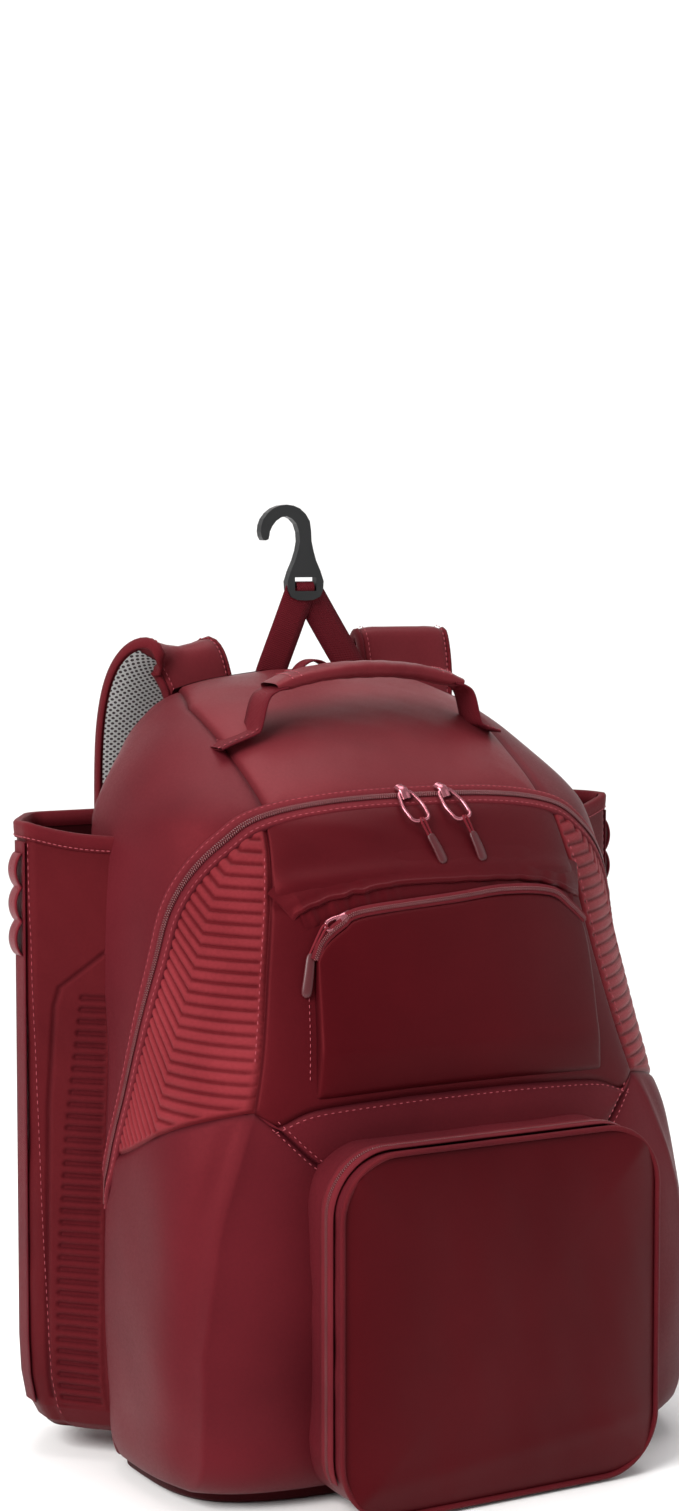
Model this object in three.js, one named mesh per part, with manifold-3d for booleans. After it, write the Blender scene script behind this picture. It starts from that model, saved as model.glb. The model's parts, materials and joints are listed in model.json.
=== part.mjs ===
// A baseball backpack that stands by itself: a domed padded body with two open side sleeves,
// a wide opening zip over the top, ribbed side shoulders, a zipped chest pocket and a boxed
// lower pocket, shoulder straps, a grab handle and a hook on a webbing loop to hang it by.
// Millimetres, +Z up, +X to the right of the front, the front looks to -Y, the back face is y = 0.

import * as THREE from 'three';
import { mergeVertices } from 'three/addons/utils/BufferGeometryUtils.js';
import Module from 'manifold-3d';

const wasm = await Module();
wasm.setup();

// Driving dimensions: the body
const bodyHeight = 480;
const bodyWidth = 374;
const bodyDepth = 237;
const wall = 3;
const seamGap = 0.4;
const baseHeight = 9;
const backPanelDepth = 9;
const topPanelWidth = 200;

// Driving dimensions: the opening zip over the top and down both sides
const zipTapeWidth = 14;
const zipCoilWidth = 4;
const zipCoilRise = 1.4;
const zipEndHeight = 166;

// Driving dimensions: the ribs of the side shoulders
const ribPitch = 8.2;
const ribWidth = 4.1;
const ribRise = 1.5;
const ribMargin = 2.5;
const ribTurnDepth = 166;
const ribSlope = 1.25;

// Driving dimensions: the chest pocket
const chestPocketWidth = 194;
const chestPocketTopShare = 0.727;
const chestPocketCorner = 28;
const chestPocketRise = 7;
const chestZipWidth = 7;
const chestHoodWidth = 9;
const chestHoodRise = 5;

// Driving dimensions: the boxed lower pocket
const lowerPocketWidth = 216;
const lowerPocketTopShare = 0.448;
const lowerPocketFoot = 4;
const lowerPocketCorner = 36;
const lowerPocketReach = 36;
const lowerPocketCrown = 6;
const crownShares = [0.97, 0.85, 0.6, 0.3];
const lowerZipWidth = 8;
const lowerZipEnd = 26;
const pipingWidth = 3.2;

// Driving dimensions: the side sleeves
const sleeveReach = 212;
const sleeveHeight = 393;
const sleeveFoot = 18;
const sleeveFrontDepth = 65;
const sleeveRearWidth = 186;
const sleeveBindingHeight = 6;
const sleeveBindingRise = 0.8;
const ladderPitch = 8.4;
const ladderRibWidth = 4.2;
const ladderRibRise = 1.3;
const ladderTop = 286;
const ladderFoot = 32;
const gearLoopHeight = 21;
const gearLoopRise = 4.5;
const gearLoopWidth = 12;
const gearLoopCount = 3;
const loopHoleStart = 0.15;
const loopHoleLength = 0.7;

// Driving dimensions: straps, handle, webbing and hook
const strapThickness = 11;
const strapMeshThickness = 2;
const handleSpan = 134;
const handleRise = 39;
const handleWidth = 26;
const handleThickness = 11;
const handleDepth = 105;
const handleFootLength = 32;
const webbingWidth = 25;
const webbingThickness = 1.8;
const hookHeight = 63;
const hookThickness = 6;
const hookBaseWidth = 26;
const hookSlotWidth = 16;
const hookSlotHeight = 9;
const hookSide = 10;
const hangerDepth = 6;
const hangerRise = 46;
const hangerFeet = { left: -18, right: 53 };
const topLoopDepth = 40;
const topLoopRadius = 8;

// Driving dimensions: the zip sliders and their pulls
const sliderLength = 11;
const sliderWidth = 8;
const sliderHeight = 4;
const sliderRingRadius = 6;
const sliderRingWire = 1.1;
const pullCordThickness = 2.2;
const pullTabWidth = 6;
const pullTabThickness = 3;
const chestSliderGap = 1.5;
const chestSlope = { x: 0.94, z: 0.34 };
const chestPullEnd = { x: -88, drop: 53, lift: 10 };
const mainSliders = [
  { name: 'left', x: -9, pullEnd: { x: 3, drop: 36, lift: 4 } },
  { name: 'right', x: 19, pullEnd: { x: 32, drop: 36, lift: 4 } },
];

// Plan sections of the body from the floor up. Height is a share of bodyHeight. Wide (at the
// widest place) and backWide (at the back corners) are shares of half bodyWidth. Widest and
// front are depths from the back face as shares of bodyDepth. The two rounds are the powers of
// the front and back corners: 2 is an ellipse, and more is squarer.
const planSections = [
  { height: 0, wide: 0.888, backWide: 0.642, widest: 0.464, front: 0.895, frontRound: 4, backRound: 6 },
  { height: 0.029, wide: 0.952, backWide: 0.663, widest: 0.481,
    front: 0.954, frontRound: 4.6, backRound: 6 },
  { height: 0.104, wide: 0.984, backWide: 0.674, widest: 0.506, front: 0.987, frontRound: 5, backRound: 6 },
  { height: 0.208, wide: 1, backWide: 0.684, widest: 0.515, front: 1, frontRound: 5, backRound: 6 },
  { height: 0.417, wide: 0.968, backWide: 0.706, widest: 0.473,
    front: 0.975, frontRound: 3.9, backRound: 6 },
  { height: 0.49, wide: 0.941, backWide: 0.711, widest: 0.439, front: 0.954, frontRound: 3.4, backRound: 6 },
  { height: 0.625, wide: 0.909, backWide: 0.717, widest: 0.363,
    front: 0.895, frontRound: 2.9, backRound: 6 },
  { height: 0.819, wide: 0.872, backWide: 0.706, widest: 0.228, front: 0.76, frontRound: 2.8, backRound: 6 },
  { height: 0.85, wide: 0.834, backWide: 0.684, widest: 0.203, front: 0.709, frontRound: 2.7, backRound: 6 },
  { height: 0.896, wide: 0.749, backWide: 0.642, widest: 0.177,
    front: 0.591, frontRound: 2.4, backRound: 6 },
  { height: 0.9375, wide: 0.636, backWide: 0.594, widest: 0.152,
    front: 0.456, frontRound: 2.3, backRound: 6 },
  { height: 0.969, wide: 0.513, backWide: 0.476, widest: 0.127,
    front: 0.321, frontRound: 2.2, backRound: 5 },
  { height: 0.99, wide: 0.321, backWide: 0.262, widest: 0.101, front: 0.194, frontRound: 2.1, backRound: 4 },
  { height: 1, wide: 0.107, backWide: 0.086, widest: 0.055, front: 0.084, frontRound: 2, backRound: 3 },
];

// The opening seam in the side view: depth as a share of bodyDepth, height of bodyHeight.
// It is a plain seam below the zip's end and the zip's middle line above it.
const openingSeam = [
  { depth: 0.5, height: -0.04 },
  { depth: 0.473, height: 0.125 },
  { depth: 0.456, height: 0.27 },
  { depth: 0.473, height: 0.35 },
  { depth: 0.553, height: 0.529 },
  { depth: 0.595, height: 0.65 },
  { depth: 0.616, height: 0.724 },
  { depth: 0.665, height: 0.8 },
  { depth: 0.703, height: 0.85 },
  { depth: 0.9, height: 0.947 },
];

// The lower edge of the ribbed shoulders in the side view, from the zip's end to the front.
const shoulderEdge = [
  { depth: 0.38, height: 0.392 },
  { depth: 0.5, height: 0.41 },
  { depth: 0.6, height: 0.427 },
  { depth: 0.717, height: 0.454 },
  { depth: 0.814, height: 0.475 },
  { depth: 0.882, height: 0.487 },
  { depth: 1.3, height: 0.487 },
];

// The front panel's side seam in the front view: x as a share of half bodyWidth.
const chestSeam = [
  { x: 0.535, height: 0.9 },
  { x: 0.545, height: 0.823 },
  { x: 0.556, height: 0.783 },
  { x: 0.593, height: 0.7 },
  { x: 0.631, height: 0.619 },
  { x: 0.668, height: 0.548 },
  { x: 0.711, height: 0.4875 },
];

// The seam under the front panel in the front view, from its side to its middle.
const waistSeam = [
  { x: 0.652, height: 0.471 },
  { x: 0.52, height: 0.487 },
  { x: 0.25, height: 0.494 },
];

// The twin-stitched seam of the yoke above the lower pocket, from the waist to the pocket.
const yokeSeam = [
  { x: 0.711, height: 0.4875 },
  { x: 0.466, height: 0.404 },
  { x: 0.41, height: 0.385 },
];

// The sleeve's plan corners: x as a share of sleeveReach, depth of sleeveFrontDepth, radius in mm.
// The front flap leans inwards to the body, at one slope at the foot and another at the mouth.
const sleeveCorners = [
  { x: 0.62, depthAtFoot: 2.2, depthAtMouth: 1.55, radius: 4 },
  { x: 1, depthAtFoot: 1, depthAtMouth: 1, radius: 6 },
  { x: 1.003, depthAtFoot: 0.7, depthAtMouth: 0.7, radius: 8 },
];

// The ladder of ribs on the front flap: x of its two ends as shares of sleeveReach.
const ladderShares = { inner: 0.845, outerAtFoot: 0.935, outerAtTop: 0.9 };

// The hook's outline from the front, counter-clockwise from the bottom of its slotted base. Side is
// from its middle as a share of hookBaseWidth, height a share of hookHeight.
const hookOutline = [
  { side: 0, height: 0 },
  { side: 0.42, height: 0.04 },
  { side: 0.52, height: 0.2 },
  { side: 0.3, height: 0.42 },
  { side: 0.17, height: 0.62 },
  { side: 0.12, height: 0.83 },
  { side: -0.16, height: 0.96 },
  { side: -0.54, height: 1 },
  { side: -0.92, height: 0.96 },
  { side: -1.2, height: 0.85 },
  { side: -1.28, height: 0.72 },
  { side: -1.2, height: 0.63 },
  { side: -1.06, height: 0.64 },
  { side: -1.02, height: 0.72 },
  { side: -0.84, height: 0.83 },
  { side: -0.54, height: 0.88 },
  { side: -0.26, height: 0.8 },
  { side: -0.17, height: 0.62 },
  { side: -0.3, height: 0.42 },
  { side: -0.52, height: 0.2 },
  { side: -0.42, height: 0.04 },
];

// The strap routes from the back panel's top over to the lower end of the pad. Side is x as a share
// of half bodyWidth, behind and height are shares of bodyDepth and bodyHeight, and breadth is the
// strap's width as a share of half bodyWidth. The left strap leans outwards.
const strapRoutes = {
  left: [
    { side: 0.32, behind: 0.013, height: 0.93, breadth: 0.25 },
    { side: 0.335, behind: 0.03, height: 0.985, breadth: 0.27 },
    { side: 0.37, behind: 0.07, height: 1.022, breadth: 0.31 },
    { side: 0.43, behind: 0.125, height: 1.0, breadth: 0.34 },
    { side: 0.46, behind: 0.16, height: 0.93, breadth: 0.35 },
    { side: 0.46, behind: 0.18, height: 0.8, breadth: 0.35 },
    { side: 0.45, behind: 0.18, height: 0.65, breadth: 0.34 },
    { side: 0.47, behind: 0.16, height: 0.5, breadth: 0.31 },
    { side: 0.52, behind: 0.12, height: 0.36, breadth: 0.25 },
  ],
  right: [
    { side: 0.5, behind: 0.008, height: 0.91, breadth: 0.35 },
    { side: 0.515, behind: 0.03, height: 0.99, breadth: 0.37 },
    { side: 0.52, behind: 0.07, height: 1.045, breadth: 0.375 },
    { side: 0.52, behind: 0.125, height: 1.015, breadth: 0.375 },
    { side: 0.51, behind: 0.16, height: 0.93, breadth: 0.37 },
    { side: 0.5, behind: 0.18, height: 0.8, breadth: 0.36 },
    { side: 0.49, behind: 0.18, height: 0.65, breadth: 0.35 },
    { side: 0.5, behind: 0.16, height: 0.5, breadth: 0.31 },
    { side: 0.53, behind: 0.12, height: 0.36, breadth: 0.25 },
  ],
};

const frontSteps = 5;
const backSteps = 4;
const strapSteps = 16;
// The mesh starts behind the strap's fold, this many steps from its top end.
const meshSkip = 6;
const halfWidth = bodyWidth / 2;
const frontFace = -bodyDepth;
const farOut = 2 * (bodyHeight + bodyWidth);
// The front pieces' prisms start this far from the back face, well inside the body.
const prismStart = 0.2 * bodyDepth;

// Materials
const cloth = (colour, roughness = 0.6) => (
  new THREE.MeshStandardMaterial({ color: colour, roughness, metalness: 0 })
);
const clothMaroon = cloth(0x7a2530);
const clothDark = cloth(0x5a161d);
const clothShoulder = cloth(0x8f3a40);
const clothSleeve = cloth(0x6b1c26);
const tapeMaroon = cloth(0x7d2a34, 0.7);
const webbingMaroon = cloth(0x541820, 0.8);
const meshGrey = cloth(0xb9bab8, 0.8);
const pullRubber = cloth(0x6a1f28, 0.5);
const sliderMetal = new THREE.MeshStandardMaterial({ color: 0x8a4a50, roughness: 0.35, metalness: 0.8 });
const hookPlastic = new THREE.MeshStandardMaterial({ color: 0x1e2020, roughness: 0.45, metalness: 0 });

// Solids from geometries and back

function toSolid(geometry) {
  const bare = geometry.clone();
  bare.deleteAttribute('normal');
  bare.deleteAttribute('uv');
  const merged = mergeVertices(bare, 1e-4);
  return new wasm.Manifold(new wasm.Mesh({
    numProp: 3,
    vertProperties: new Float32Array(merged.attributes.position.array),
    triVerts: new Uint32Array(merged.index.array),
  }));
}

function toMesh(name, solid, material) {
  const { vertProperties, triVerts } = solid.getMesh();
  const geometry = new THREE.BufferGeometry();
  geometry.setAttribute('position', new THREE.BufferAttribute(vertProperties, 3));
  geometry.setIndex(new THREE.BufferAttribute(triVerts, 1));
  geometry.computeVertexNormals();
  const mesh = new THREE.Mesh(geometry, material);
  mesh.name = name;
  return mesh;
}

// A closed solid through rings of equally many points, each ring counter-clockwise seen from
// the last one. Fans round the rings' middles close both ends.
function loft(rings) {
  const count = rings[0].length;
  const middle = (ring) => ring.reduce((sum, p) => sum.add(p), new THREE.Vector3()).divideScalar(count);
  const points = [...rings.flat(), middle(rings[0]), middle(rings[rings.length - 1])];
  const lowMiddle = rings.length * count;
  const lastRing = lowMiddle - count;
  const faces = [];
  for (let j = 0; j < count; j += 1) {
    const next = (j + 1) % count;
    for (let i = 0; i < rings.length - 1; i += 1) {
      const low = i * count;
      const high = low + count;
      faces.push(low + j, low + next, high + j, low + next, high + next, high + j);
    }
    faces.push(lowMiddle, next, j, lowMiddle + 1, lastRing + j, lastRing + next);
  }
  const geometry = new THREE.BufferGeometry().setFromPoints(points);
  geometry.setIndex(faces);
  return toSolid(geometry);
}

// Prisms from outlines: seen from above, from the front and from the right side

const shapeOf = (outline) => new THREE.Shape(outline.map(([a, b]) => new THREE.Vector2(a, b)));

function prism(shape, length, basis, origin) {
  const settings = { depth: length, bevelEnabled: false, curveSegments: 6 };
  const geometry = new THREE.ExtrudeGeometry(shape, settings);
  geometry.applyMatrix4(new THREE.Matrix4().makeBasis(...basis).setPosition(...origin));
  return toSolid(geometry);
}

const axisX = new THREE.Vector3(1, 0, 0);
const axisY = new THREE.Vector3(0, 1, 0);
const axisZ = new THREE.Vector3(0, 0, 1);
const towardsFront = new THREE.Vector3(0, -1, 0);

const frontPrism = (outline, nearY, farY) => (
  prism(shapeOf(outline), nearY - farY, [axisX, axisZ, towardsFront], [0, nearY, 0])
);
const sidePrism = (outline, lowX, highX) => (
  prism(shapeOf(outline), highX - lowX, [axisY, axisZ, axisX], [lowX, 0, 0])
);

function box(lowX, highX, lowY, highY, lowZ, highZ) {
  const geometry = new THREE.BoxGeometry(highX - lowX, highY - lowY, highZ - lowZ);
  geometry.translate((lowX + highX) / 2, (lowY + highY) / 2, (lowZ + highZ) / 2);
  return toSolid(geometry);
}

const aboveLevel = (level) => box(-farOut, farOut, -farOut, farOut, level, farOut);
const belowLevel = (level) => box(-farOut, farOut, -farOut, farOut, -farOut, level);
const sideOf = (side) => (
  side < 0
    ? box(-farOut, 0, -farOut, farOut, -farOut, farOut)
    : box(0, farOut, -farOut, farOut, -farOut, farOut)
);

// Moves every side of a counter-clockwise outline outwards by a distance.
function grow(outline, distance) {
  const count = outline.length;
  return outline.map(([x, y], i) => {
    const [px, py] = outline[(i + count - 1) % count];
    const [nx, ny] = outline[(i + 1) % count];
    const before = new THREE.Vector2(y - py, px - x).normalize();
    const after = new THREE.Vector2(ny - y, x - nx).normalize();
    const miter = before.clone().add(after);
    miter.multiplyScalar(distance / Math.max(0.4, 1 + before.dot(after)));
    return [x + miter.x, y + miter.y];
  });
}

// A counter-clockwise outline through corners [x, y, radius], each rounded in a few steps.
function roundedOutline(corners, steps = 4) {
  const count = corners.length;
  return corners.flatMap(([x, y, radius], i) => {
    const corner = new THREE.Vector2(x, y);
    const back = new THREE.Vector2(...corners[(i + count - 1) % count]).sub(corner).normalize();
    const ahead = new THREE.Vector2(...corners[(i + 1) % count]).sub(corner).normalize();
    const halfAngle = Math.acos(THREE.MathUtils.clamp(back.dot(ahead), -1, 1)) / 2;
    const reach = radius / Math.tan(halfAngle);
    const start = corner.clone().addScaledVector(back, reach);
    const end = corner.clone().addScaledVector(ahead, reach);
    const curve = new THREE.QuadraticBezierCurve(start, corner, end);
    return curve.getPoints(steps).map((p) => [p.x, p.y]);
  });
}

// A smooth line through a few points, as [a, b] pairs.
const smoothLine = (points, steps) => (
  new THREE.SplineCurve(points.map(([a, b]) => new THREE.Vector2(a, b)))
    .getPoints(steps)
    .map((p) => [p.x, p.y])
);

// A line moved sideways, to the left of its direction, by a distance.
function shiftLine(line, distance) {
  return line.map(([a, b], i) => {
    const [pa, pb] = line[Math.max(0, i - 1)];
    const [na, nb] = line[Math.min(line.length - 1, i + 1)];
    const length = Math.hypot(na - pa, nb - pb);
    return [a - ((nb - pb) / length) * distance, b + ((na - pa) / length) * distance];
  });
}

// The band between two sideways shifts of a line, as an outline.
const bandOutline = (line, left, right) => [...shiftLine(line, right), ...shiftLine(line, left).reverse()];

// The body's form

function sectionRing(section, growth) {
  const wide = section.wide * halfWidth + growth;
  const backWide = section.backWide * halfWidth + growth;
  const widest = section.widest * bodyDepth;
  const front = section.front * bodyDepth + growth;
  const height = section.height * (bodyHeight + 2 * growth) - growth;
  const right = [];
  for (let i = 0; i < frontSteps; i += 1) {
    const angle = (i / frontSteps) * (Math.PI / 2);
    const x = wide * Math.sin(angle) ** (2 / section.frontRound);
    const y = -widest - (front - widest) * Math.cos(angle) ** (2 / section.frontRound);
    right.push(new THREE.Vector3(x, y, height));
  }
  for (let i = 0; i < backSteps; i += 1) {
    const angle = (i / backSteps) * (Math.PI / 2);
    const along = Math.sin(angle) ** (2 / section.backRound);
    const x = (wide - (wide - backWide) * along) * Math.cos(angle) ** (2 / section.backRound);
    right.push(new THREE.Vector3(x, -widest + (widest + growth) * along, height));
  }
  right.push(new THREE.Vector3(0, growth, height));
  const left = right.slice(1, -1).reverse().map((p) => new THREE.Vector3(-p.x, p.y, p.z));
  return [...right, ...left];
}

const bodyForm = (growth) => loft(planSections.map((section) => sectionRing(section, growth)));

// The body's front at a height and a sideways place, lifted outwards.
function frontPoint(x, z, lift) {
  const share = THREE.MathUtils.clamp(z / bodyHeight, 0, 0.999);
  const upper = planSections.findIndex((section) => section.height > share);
  const low = planSections[upper - 1];
  const high = planSections[upper];
  const t = (share - low.height) / (high.height - low.height);
  const at = (key) => low[key] + (high[key] - low[key]) * t;
  const power = at('frontRound');
  const across = Math.min(0.98, Math.abs(x) / (at('wide') * halfWidth));
  const widest = at('widest') * bodyDepth;
  const y = -widest - (at('front') * bodyDepth - widest) * (1 - across ** power) ** (1 / power);
  return new THREE.Vector3(x, y - lift, z);
}

const sideLine = (table, steps) => (
  smoothLine(table.map((row) => [-row.depth * bodyDepth, row.height * bodyHeight]), steps)
);
const frontLine = (table, steps) => (
  smoothLine(table.map((row) => [row.x * halfWidth, row.height * bodyHeight]), steps)
);
const mirrorLine = (line) => line.map(([a, b]) => [-a, b]).reverse();

// A band along a path: a rectangular section, chamfered on a padded band, carried through rows of
// { at, width, thick } with its width along a given direction.
function bandAlong(rows, across, steps, { offset = 0, padded = false, from = 0, growth = 0 } = {}) {
  const path = new THREE.CatmullRomCurve3(rows.map((row) => row.at), false, 'centripetal');
  const sizes = new THREE.CatmullRomCurve3(rows.map((row) => new THREE.Vector3(row.width, row.thick, 0)));
  const rings = [];
  for (let i = 0; i <= steps; i += 1) {
    const share = from + (1 - from) * (i / steps);
    const along = path.getTangent(share);
    const endGrowth = growth * ((i === steps) - (i === 0));
    const at = path.getPoint(share).addScaledVector(along, endGrowth);
    const wide = across.clone().addScaledVector(along, -across.dot(along)).normalize();
    const thick = new THREE.Vector3().crossVectors(along, wide);
    const { x: width, y: thickness } = sizes.getPoint(share);
    const halfWide = width / 2 + growth;
    const halfThick = thickness / 2 + growth;
    const chamfer = thickness / 3;
    const plain = [
      [halfWide, -halfThick], [halfWide, halfThick], [-halfWide, halfThick], [-halfWide, -halfThick],
    ];
    const corners = padded ? plain.flatMap(([a, b]) => {
      const level = [a - Math.sign(a) * chamfer, b];
      const upright = [a, b - Math.sign(b) * chamfer];
      return a * b < 0 ? [level, upright] : [upright, level];
    }) : plain;
    rings.push(corners.map(([a, b]) => (
      at.clone().addScaledVector(wide, a).addScaledVector(thick, b + offset)
    )));
  }
  return loft(rings);
}

const vector = (x, y, z) => new THREE.Vector3(x, y, z);

// The body shell, cut into its panels

const body = bodyForm(0);
const clearOfBody = bodyForm(seamGap);
// A webbing sewn flat to the body, wherever a footprint covers it.
const sewnOn = (footprint) => (
  bodyForm(seamGap + webbingThickness).subtract(clearOfBody).intersect(footprint)
);
const shell = body.subtract(bodyForm(-wall));
const skin = (rise) => bodyForm(rise).subtract(bodyForm(-wall / 2));

const seamLine = sideLine(openingSeam, 15);
const behindSeam = (offset) => (
  sidePrism([...shiftLine(seamLine, -offset), [farOut, farOut], [farOut, -farOut]], -farOut, farOut)
);
const zipBand = (half) => (
  sidePrism(bandOutline(seamLine, half, -half), -farOut, farOut).intersect(aboveLevel(zipEndHeight))
);
const zipClear = zipBand(zipTapeWidth / 2 + seamGap);

function mainZip() {
  const tape = shell.intersect(zipBand(zipTapeWidth / 2));
  const coil = skin(zipCoilRise).intersect(zipBand(zipCoilWidth / 2));
  return tape.add(coil);
}

const shellAboveBase = shell.intersect(aboveLevel(baseHeight + seamGap));
const rearShell = shellAboveBase.intersect(behindSeam(seamGap / 2)).subtract(zipClear);
const frontShell = shellAboveBase.subtract(behindSeam(-seamGap / 2)).subtract(zipClear);

const inFrontOfBack = box(-farOut, farOut, -farOut, -backPanelDepth - seamGap, -farOut, farOut);
const backSlab = box(-farOut, farOut, -backPanelDepth, farOut, -farOut, farOut);
const between = (half) => box(-half, half, -farOut, farOut, -farOut, farOut);

// The front panel, the yoke under it, the ribbed shoulders and the lower panel round them

const chestSide = frontLine(chestSeam, 6);
const waistSide = frontLine(waistSeam, 6);
const yokeSide = frontLine(yokeSeam, 4);
const frontRight = [...waistSide.reverse(), ...chestSide.reverse()];
const frontOutline = [...frontRight, ...mirrorLine(frontRight)];
const yokeRight = [...yokeSide.reverse(), [0.6 * halfWidth, 0.55 * bodyHeight]];
const yokeOutline = [...yokeRight, ...mirrorLine(yokeRight)];
const ofFront = (outline) => frontPrism(outline, -prismStart, frontFace - farOut);
const clearOfFront = ofFront(grow(frontOutline, seamGap));
const clearOfYoke = ofFront(grow(yokeOutline, seamGap));
const shoulderLine = sideLine(shoulderEdge, 8);

const aboveShoulderEdge = (offset) => (
  sidePrism([...shiftLine(shoulderLine, -offset), [-farOut, farOut], [0, farOut]], -farOut, farOut)
);

// Ribs seen from the side: level in front of the turn, and rising to the zip behind it.
function ribStrips() {
  const zipDepth = shoulderEdge[1].depth * bodyDepth;
  const lowest = shoulderEdge[1].height * bodyHeight - ribSlope * (ribTurnDepth - zipDepth);
  const highest = chestSeam[1].height * bodyHeight;
  const count = Math.floor((highest - lowest) / ribPitch);
  const strips = [];
  for (let i = 0; i < count; i += 1) {
    const level = highest - (i + 0.5) * ribPitch;
    const rear = -zipDepth + ribTurnDepth;
    const line = [[-farOut, level], [-ribTurnDepth, level], [rear - ribTurnDepth, level + ribSlope * rear]];
    strips.push(sidePrism(bandOutline(line, ribWidth / 2, -ribWidth / 2), -farOut, farOut));
  }
  return wasm.Manifold.union(strips);
}

const besideFront = frontShell.subtract(clearOfFront).subtract(clearOfYoke);
const shoulders = besideFront.intersect(aboveShoulderEdge(seamGap / 2));
const ribZone = skin(ribRise)
  .intersect(aboveShoulderEdge(ribMargin))
  .subtract(behindSeam(0))
  .subtract(zipBand(zipTapeWidth / 2 + ribMargin))
  .subtract(ofFront(grow(frontOutline, ribMargin)));
const ribbedShoulders = shoulders.add(ribZone.intersect(ribStrips()));

const front = frontShell.intersect(ofFront(frontOutline));
const yoke = frontShell.intersect(ofFront(yokeOutline)).subtract(clearOfFront);
const lower = besideFront.subtract(aboveShoulderEdge(-seamGap / 2));
const top = rearShell.intersect(between((topPanelWidth - seamGap) / 2)).intersect(inFrontOfBack)
  .intersect(aboveLevel(bodyHeight / 2));
const sides = rearShell.subtract(between((topPanelWidth + seamGap) / 2)).intersect(inFrontOfBack);
const back = rearShell.intersect(backSlab);
const base = shell.intersect(belowLevel(baseHeight));

// The chest pocket: a shallow tray open to the front panel, with its zip and the hood above it

const chestPocketTop = chestPocketTopShare * bodyHeight;
const chestFoot = waistSeam[2].height * bodyHeight + 1.5 * wall;
const chestOutline = roundedOutline([
  [-chestPocketWidth / 2, chestFoot, 2 * wall],
  [chestPocketWidth / 2, chestFoot, 2 * wall],
  [chestPocketWidth / 2, chestPocketTop, chestPocketCorner],
  [-chestPocketWidth / 2, chestPocketTop, chestPocketCorner],
]);
const chestEnds = aboveLevel(chestPocketTop - chestPocketCorner);

function chestPocket() {
  const outer = bodyForm(chestPocketRise).intersect(ofFront(chestOutline));
  const inner = bodyForm(chestPocketRise - wall).intersect(ofFront(grow(chestOutline, -wall)));
  return outer.subtract(inner).subtract(clearOfBody);
}

function chestRim(from, width, rise) {
  const ring = ofFront(grow(chestOutline, from + width)).subtract(ofFront(grow(chestOutline, from)));
  return bodyForm(rise).subtract(clearOfBody).intersect(ring).intersect(chestEnds)
    .intersect(ofFront(grow(frontOutline, -seamGap)));
}

const chestZip = chestRim(seamGap, chestZipWidth, chestPocketRise - wall);
const chestHood = chestRim(chestZipWidth + 2 * seamGap, chestHoodWidth, chestHoodRise);

// The lower pocket: a boxed gusset with a zip let into it, piping and a padded crowned face

const lowerPocketTop = lowerPocketTopShare * bodyHeight;
const lowerOutline = roundedOutline([
  [-lowerPocketWidth / 2, lowerPocketFoot, lowerPocketCorner],
  [lowerPocketWidth / 2, lowerPocketFoot, lowerPocketCorner],
  [lowerPocketWidth / 2, lowerPocketTop, lowerPocketCorner],
  [-lowerPocketWidth / 2, lowerPocketTop, lowerPocketCorner],
]);
const lowerFaceY = frontFace - lowerPocketReach;
const lowerPipingY = lowerFaceY + seamGap + pipingWidth;
const lowerZipY = frontFace - (lowerPocketReach - lowerZipWidth) / 2;

const pocketRing = (outwards, inwards, nearY, farY) => (
  frontPrism(grow(lowerOutline, outwards), nearY, farY)
    .subtract(frontPrism(grow(lowerOutline, -inwards), nearY + wall, farY - wall))
);

function lowerGusset() {
  const slot = pocketRing(wall, 2 * wall, lowerZipY + seamGap, lowerZipY - lowerZipWidth - seamGap)
    .intersect(aboveLevel(lowerZipEnd - seamGap));
  return pocketRing(0, wall, -prismStart, lowerPipingY + seamGap).subtract(clearOfBody).subtract(slot);
}

function lowerZip() {
  const middle = lowerZipY - lowerZipWidth / 2;
  const tape = pocketRing(0, wall, lowerZipY, lowerZipY - lowerZipWidth);
  const coil = pocketRing(zipCoilRise, wall, middle + zipCoilWidth / 2, middle - zipCoilWidth / 2);
  return tape.add(coil).intersect(aboveLevel(lowerZipEnd));
}

function lowerFace() {
  const middleZ = (lowerPocketFoot + lowerPocketTop) / 2;
  const ring = (share, y) => lowerOutline.map(([x, z]) => (
    vector(x * share, y, middleZ + (z - middleZ) * share)
  ));
  const crown = (share) => lowerFaceY - wall - lowerPocketCrown * (1 - share ** 2);
  const crownRings = crownShares.map((share) => ring(share, crown(share)));
  return loft([ring(1, lowerFaceY), ring(1, crown(1)), ...crownRings]);
}

// The side sleeves, open at the top, on the rear corners of the body

function sleeveOutline(share, side) {
  const corners = sleeveCorners.map(({ x, depthAtFoot, depthAtMouth, radius }) => (
    [x * sleeveReach, -(depthAtFoot + (depthAtMouth - depthAtFoot) * share) * sleeveFrontDepth, radius]
  ));
  const outline = roundedOutline([...corners, [sleeveRearWidth, -1, 10], [topPanelWidth / 2, -1, 8]], 2);
  return side > 0 ? outline : mirrorLine(outline);
}

function sleeveForm(side, growth, low, high) {
  const levels = [[0, 0.88], [0.01, 0.93], [0.03, 0.975], [0.06, 1], [1, 1]];
  const [rootX, rootY] = [side * topPanelWidth / 2, -sleeveFrontDepth];
  return loft(levels.map(([share, scale]) => {
    const height = low + (high - low) * share;
    const heightShare = (height - sleeveFoot) / (sleeveHeight - sleeveFoot);
    return grow(sleeveOutline(heightShare, side), growth).map(([x, y]) => (
      vector(rootX + (x - rootX) * scale, rootY + (y - rootY) * scale, height)
    ));
  }));
}

const sleeveRim = sleeveHeight - sleeveBindingHeight;

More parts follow.
